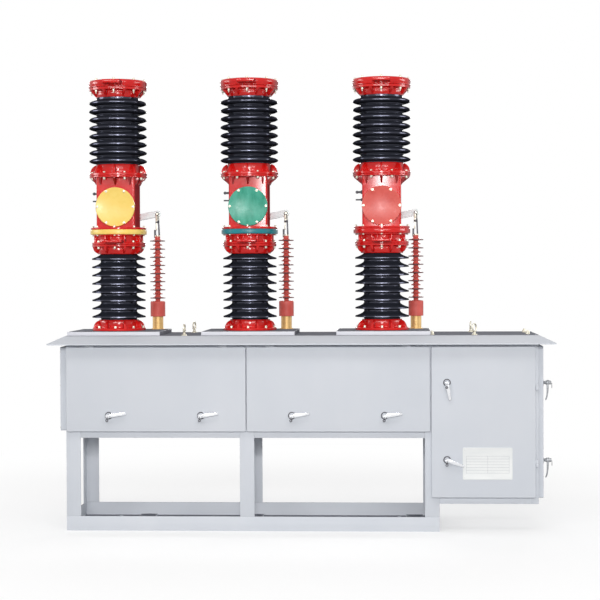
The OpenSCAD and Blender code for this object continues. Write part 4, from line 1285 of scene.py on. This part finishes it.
rules = []
rule_left, rule_right = ends_of(name_low.x, name_high.x, 18)
rule_back, rule_face = name_low.y + 0.7 * MM, name_low.y + 0.3 * MM
rule_width = 0.8 * MM
rule_top = name_high.z - 44 * MM
for row in range(7):
    z = rule_top - 14.5 * MM * row
    rules.append(block("rule", (rule_left, rule_face, z), (rule_right, rule_back, z + rule_width)))
for share in (0.07, 0.5, 0.93):
    x = name_low.x + (name_high.x - name_low.x) * share
    rules.append(block("rule", (x, rule_face, name_low.z + 32 * MM),
                       (x + rule_width, rule_back, rule_top)))
finishes["plate_aluminium-rules"] = enamel(
    "grey_ruled_lines", (158, 160, 166), (138, 140, 148), 30.0)
fitted(eased(joined(rules), 0.1, 1), "nameplate_rules", "plate_aluminium-rules",
       body="mechanism_door")

discard([flange_bolt, flange_nut, flange_stud, cover_bolt, roof_nut])


# ---- floor, light and camera

def studio_floor():
    """A pale floor that keeps the object's shadow and fades to plain white further off."""
    bpy.ops.object.select_all(action="DESELECT")
    bpy.ops.mesh.primitive_circle_add(vertices=96, radius=60, fill_type="NGON",
                                      location=(0.25, 0, 0))
    floor = bpy.context.object
    floor.name = "studio_floor"
    material = bpy.data.materials.new("pale_floor")
    paint = Nodes(material)
    paint.tree.nodes.clear()
    seen = paint.seen()
    lift = paint.sums("MULTIPLY", seen, 0.52)
    matt = paint.add("AddShader", {
        0: paint.add("BsdfDiffuse", {"Color": (0.52, 0.52, 0.52, 1)}),
        1: paint.add("Emission", {"Strength": lift})})
    reach = paint.add("VectorMath", {0: paint.add("TexCoord", output="Object")}, "Value",
                      operation="LENGTH")
    fade = paint.add("MapRange", {"Value": reach, "From Min": 1.9, "From Max": 4.2},
                     interpolation_type="SMOOTHSTEP")
    white = paint.add("Emission", {"Strength": seen})
    paint.add("OutputMaterial", {"Surface": paint.add("MixShader", {0: fade, 1: matt, 2: white})},
              None)
    floor.data.materials.append(material)


def studio_world(level):
    """Even light from all round; the camera and reflections see it as white."""
    world = bpy.data.worlds.new("studio_world")
    sky = Nodes(world)
    sky.tree.nodes.clear()
    plain, white = (
        sky.add("Background", {"Color": (1, 1, 1, 1), "Strength": strength})
        for strength in (level, 1.0))
    surface = sky.add("MixShader", {0: sky.seen(), 1: plain, 2: white})
    sky.add("OutputWorld", {"Surface": surface}, None)
    bpy.context.scene.world = world


def softbox(name, place, target, width, height, power):
    """A rectangular studio light."""
    lamp = bpy.data.lights.new(name, "AREA")
    lamp.shape = "RECTANGLE"
    lamp.size = width
    lamp.size_y = height
    lamp.energy = power
    light = bpy.data.objects.new(name, lamp)
    bpy.context.scene.collection.objects.link(light)
    light.location = place
    light.visible_camera = False
    light.rotation_euler = (Vector(target) - Vector(place)).to_track_quat("-Z", "Y").to_euler()
    return light


studio_floor()
studio_world(0.34)
for light in (
        ("front_strip", (0.6, -9.9, 3.1), (0.6, 0, 1.5), 12.0, 0.55, 410),
        ("mirror_box", (0.64, -9.4, 2.14), (0.67, 0, 1.74), 0.9, 1.0, 210),
        ("top_box", (0.3, -4.2, 6.2), (0.2, 0, 1.2), 5.0, 2.0, 100),
        ("rear_strip", (0.2, 9.5, 3.4), (0.2, 0, 1.4), 8.0, 0.8, 430),
        ("left_box", (-9.0, 0.4, 2.8), (0, 0, 1.4), 4.0, 1.5, 190),
        ("right_box", (9.2, 0.4, 2.8), (0, 0, 1.4), 4.0, 1.5, 190)):
    softbox(*light)

camera_data = bpy.data.cameras.new("camera")
camera_data.lens = 104.47
camera_data.sensor_width = 36
camera = bpy.data.objects.new("camera", camera_data)
bpy.context.scene.collection.objects.link(camera)
camera.matrix_world = (Matrix.Translation((0.731, -9.211, 1.334))
                       @ Matrix.Rotation(math.radians(3.073), 4, "Z")
                       @ Matrix.Rotation(math.radians(90 - 0.917), 4, "X")
                       @ Matrix.Rotation(math.radians(-0.244), 4, "Z"))
bpy.context.scene.camera = camera
bpy.context.scene.view_settings.view_transform = "Standard"
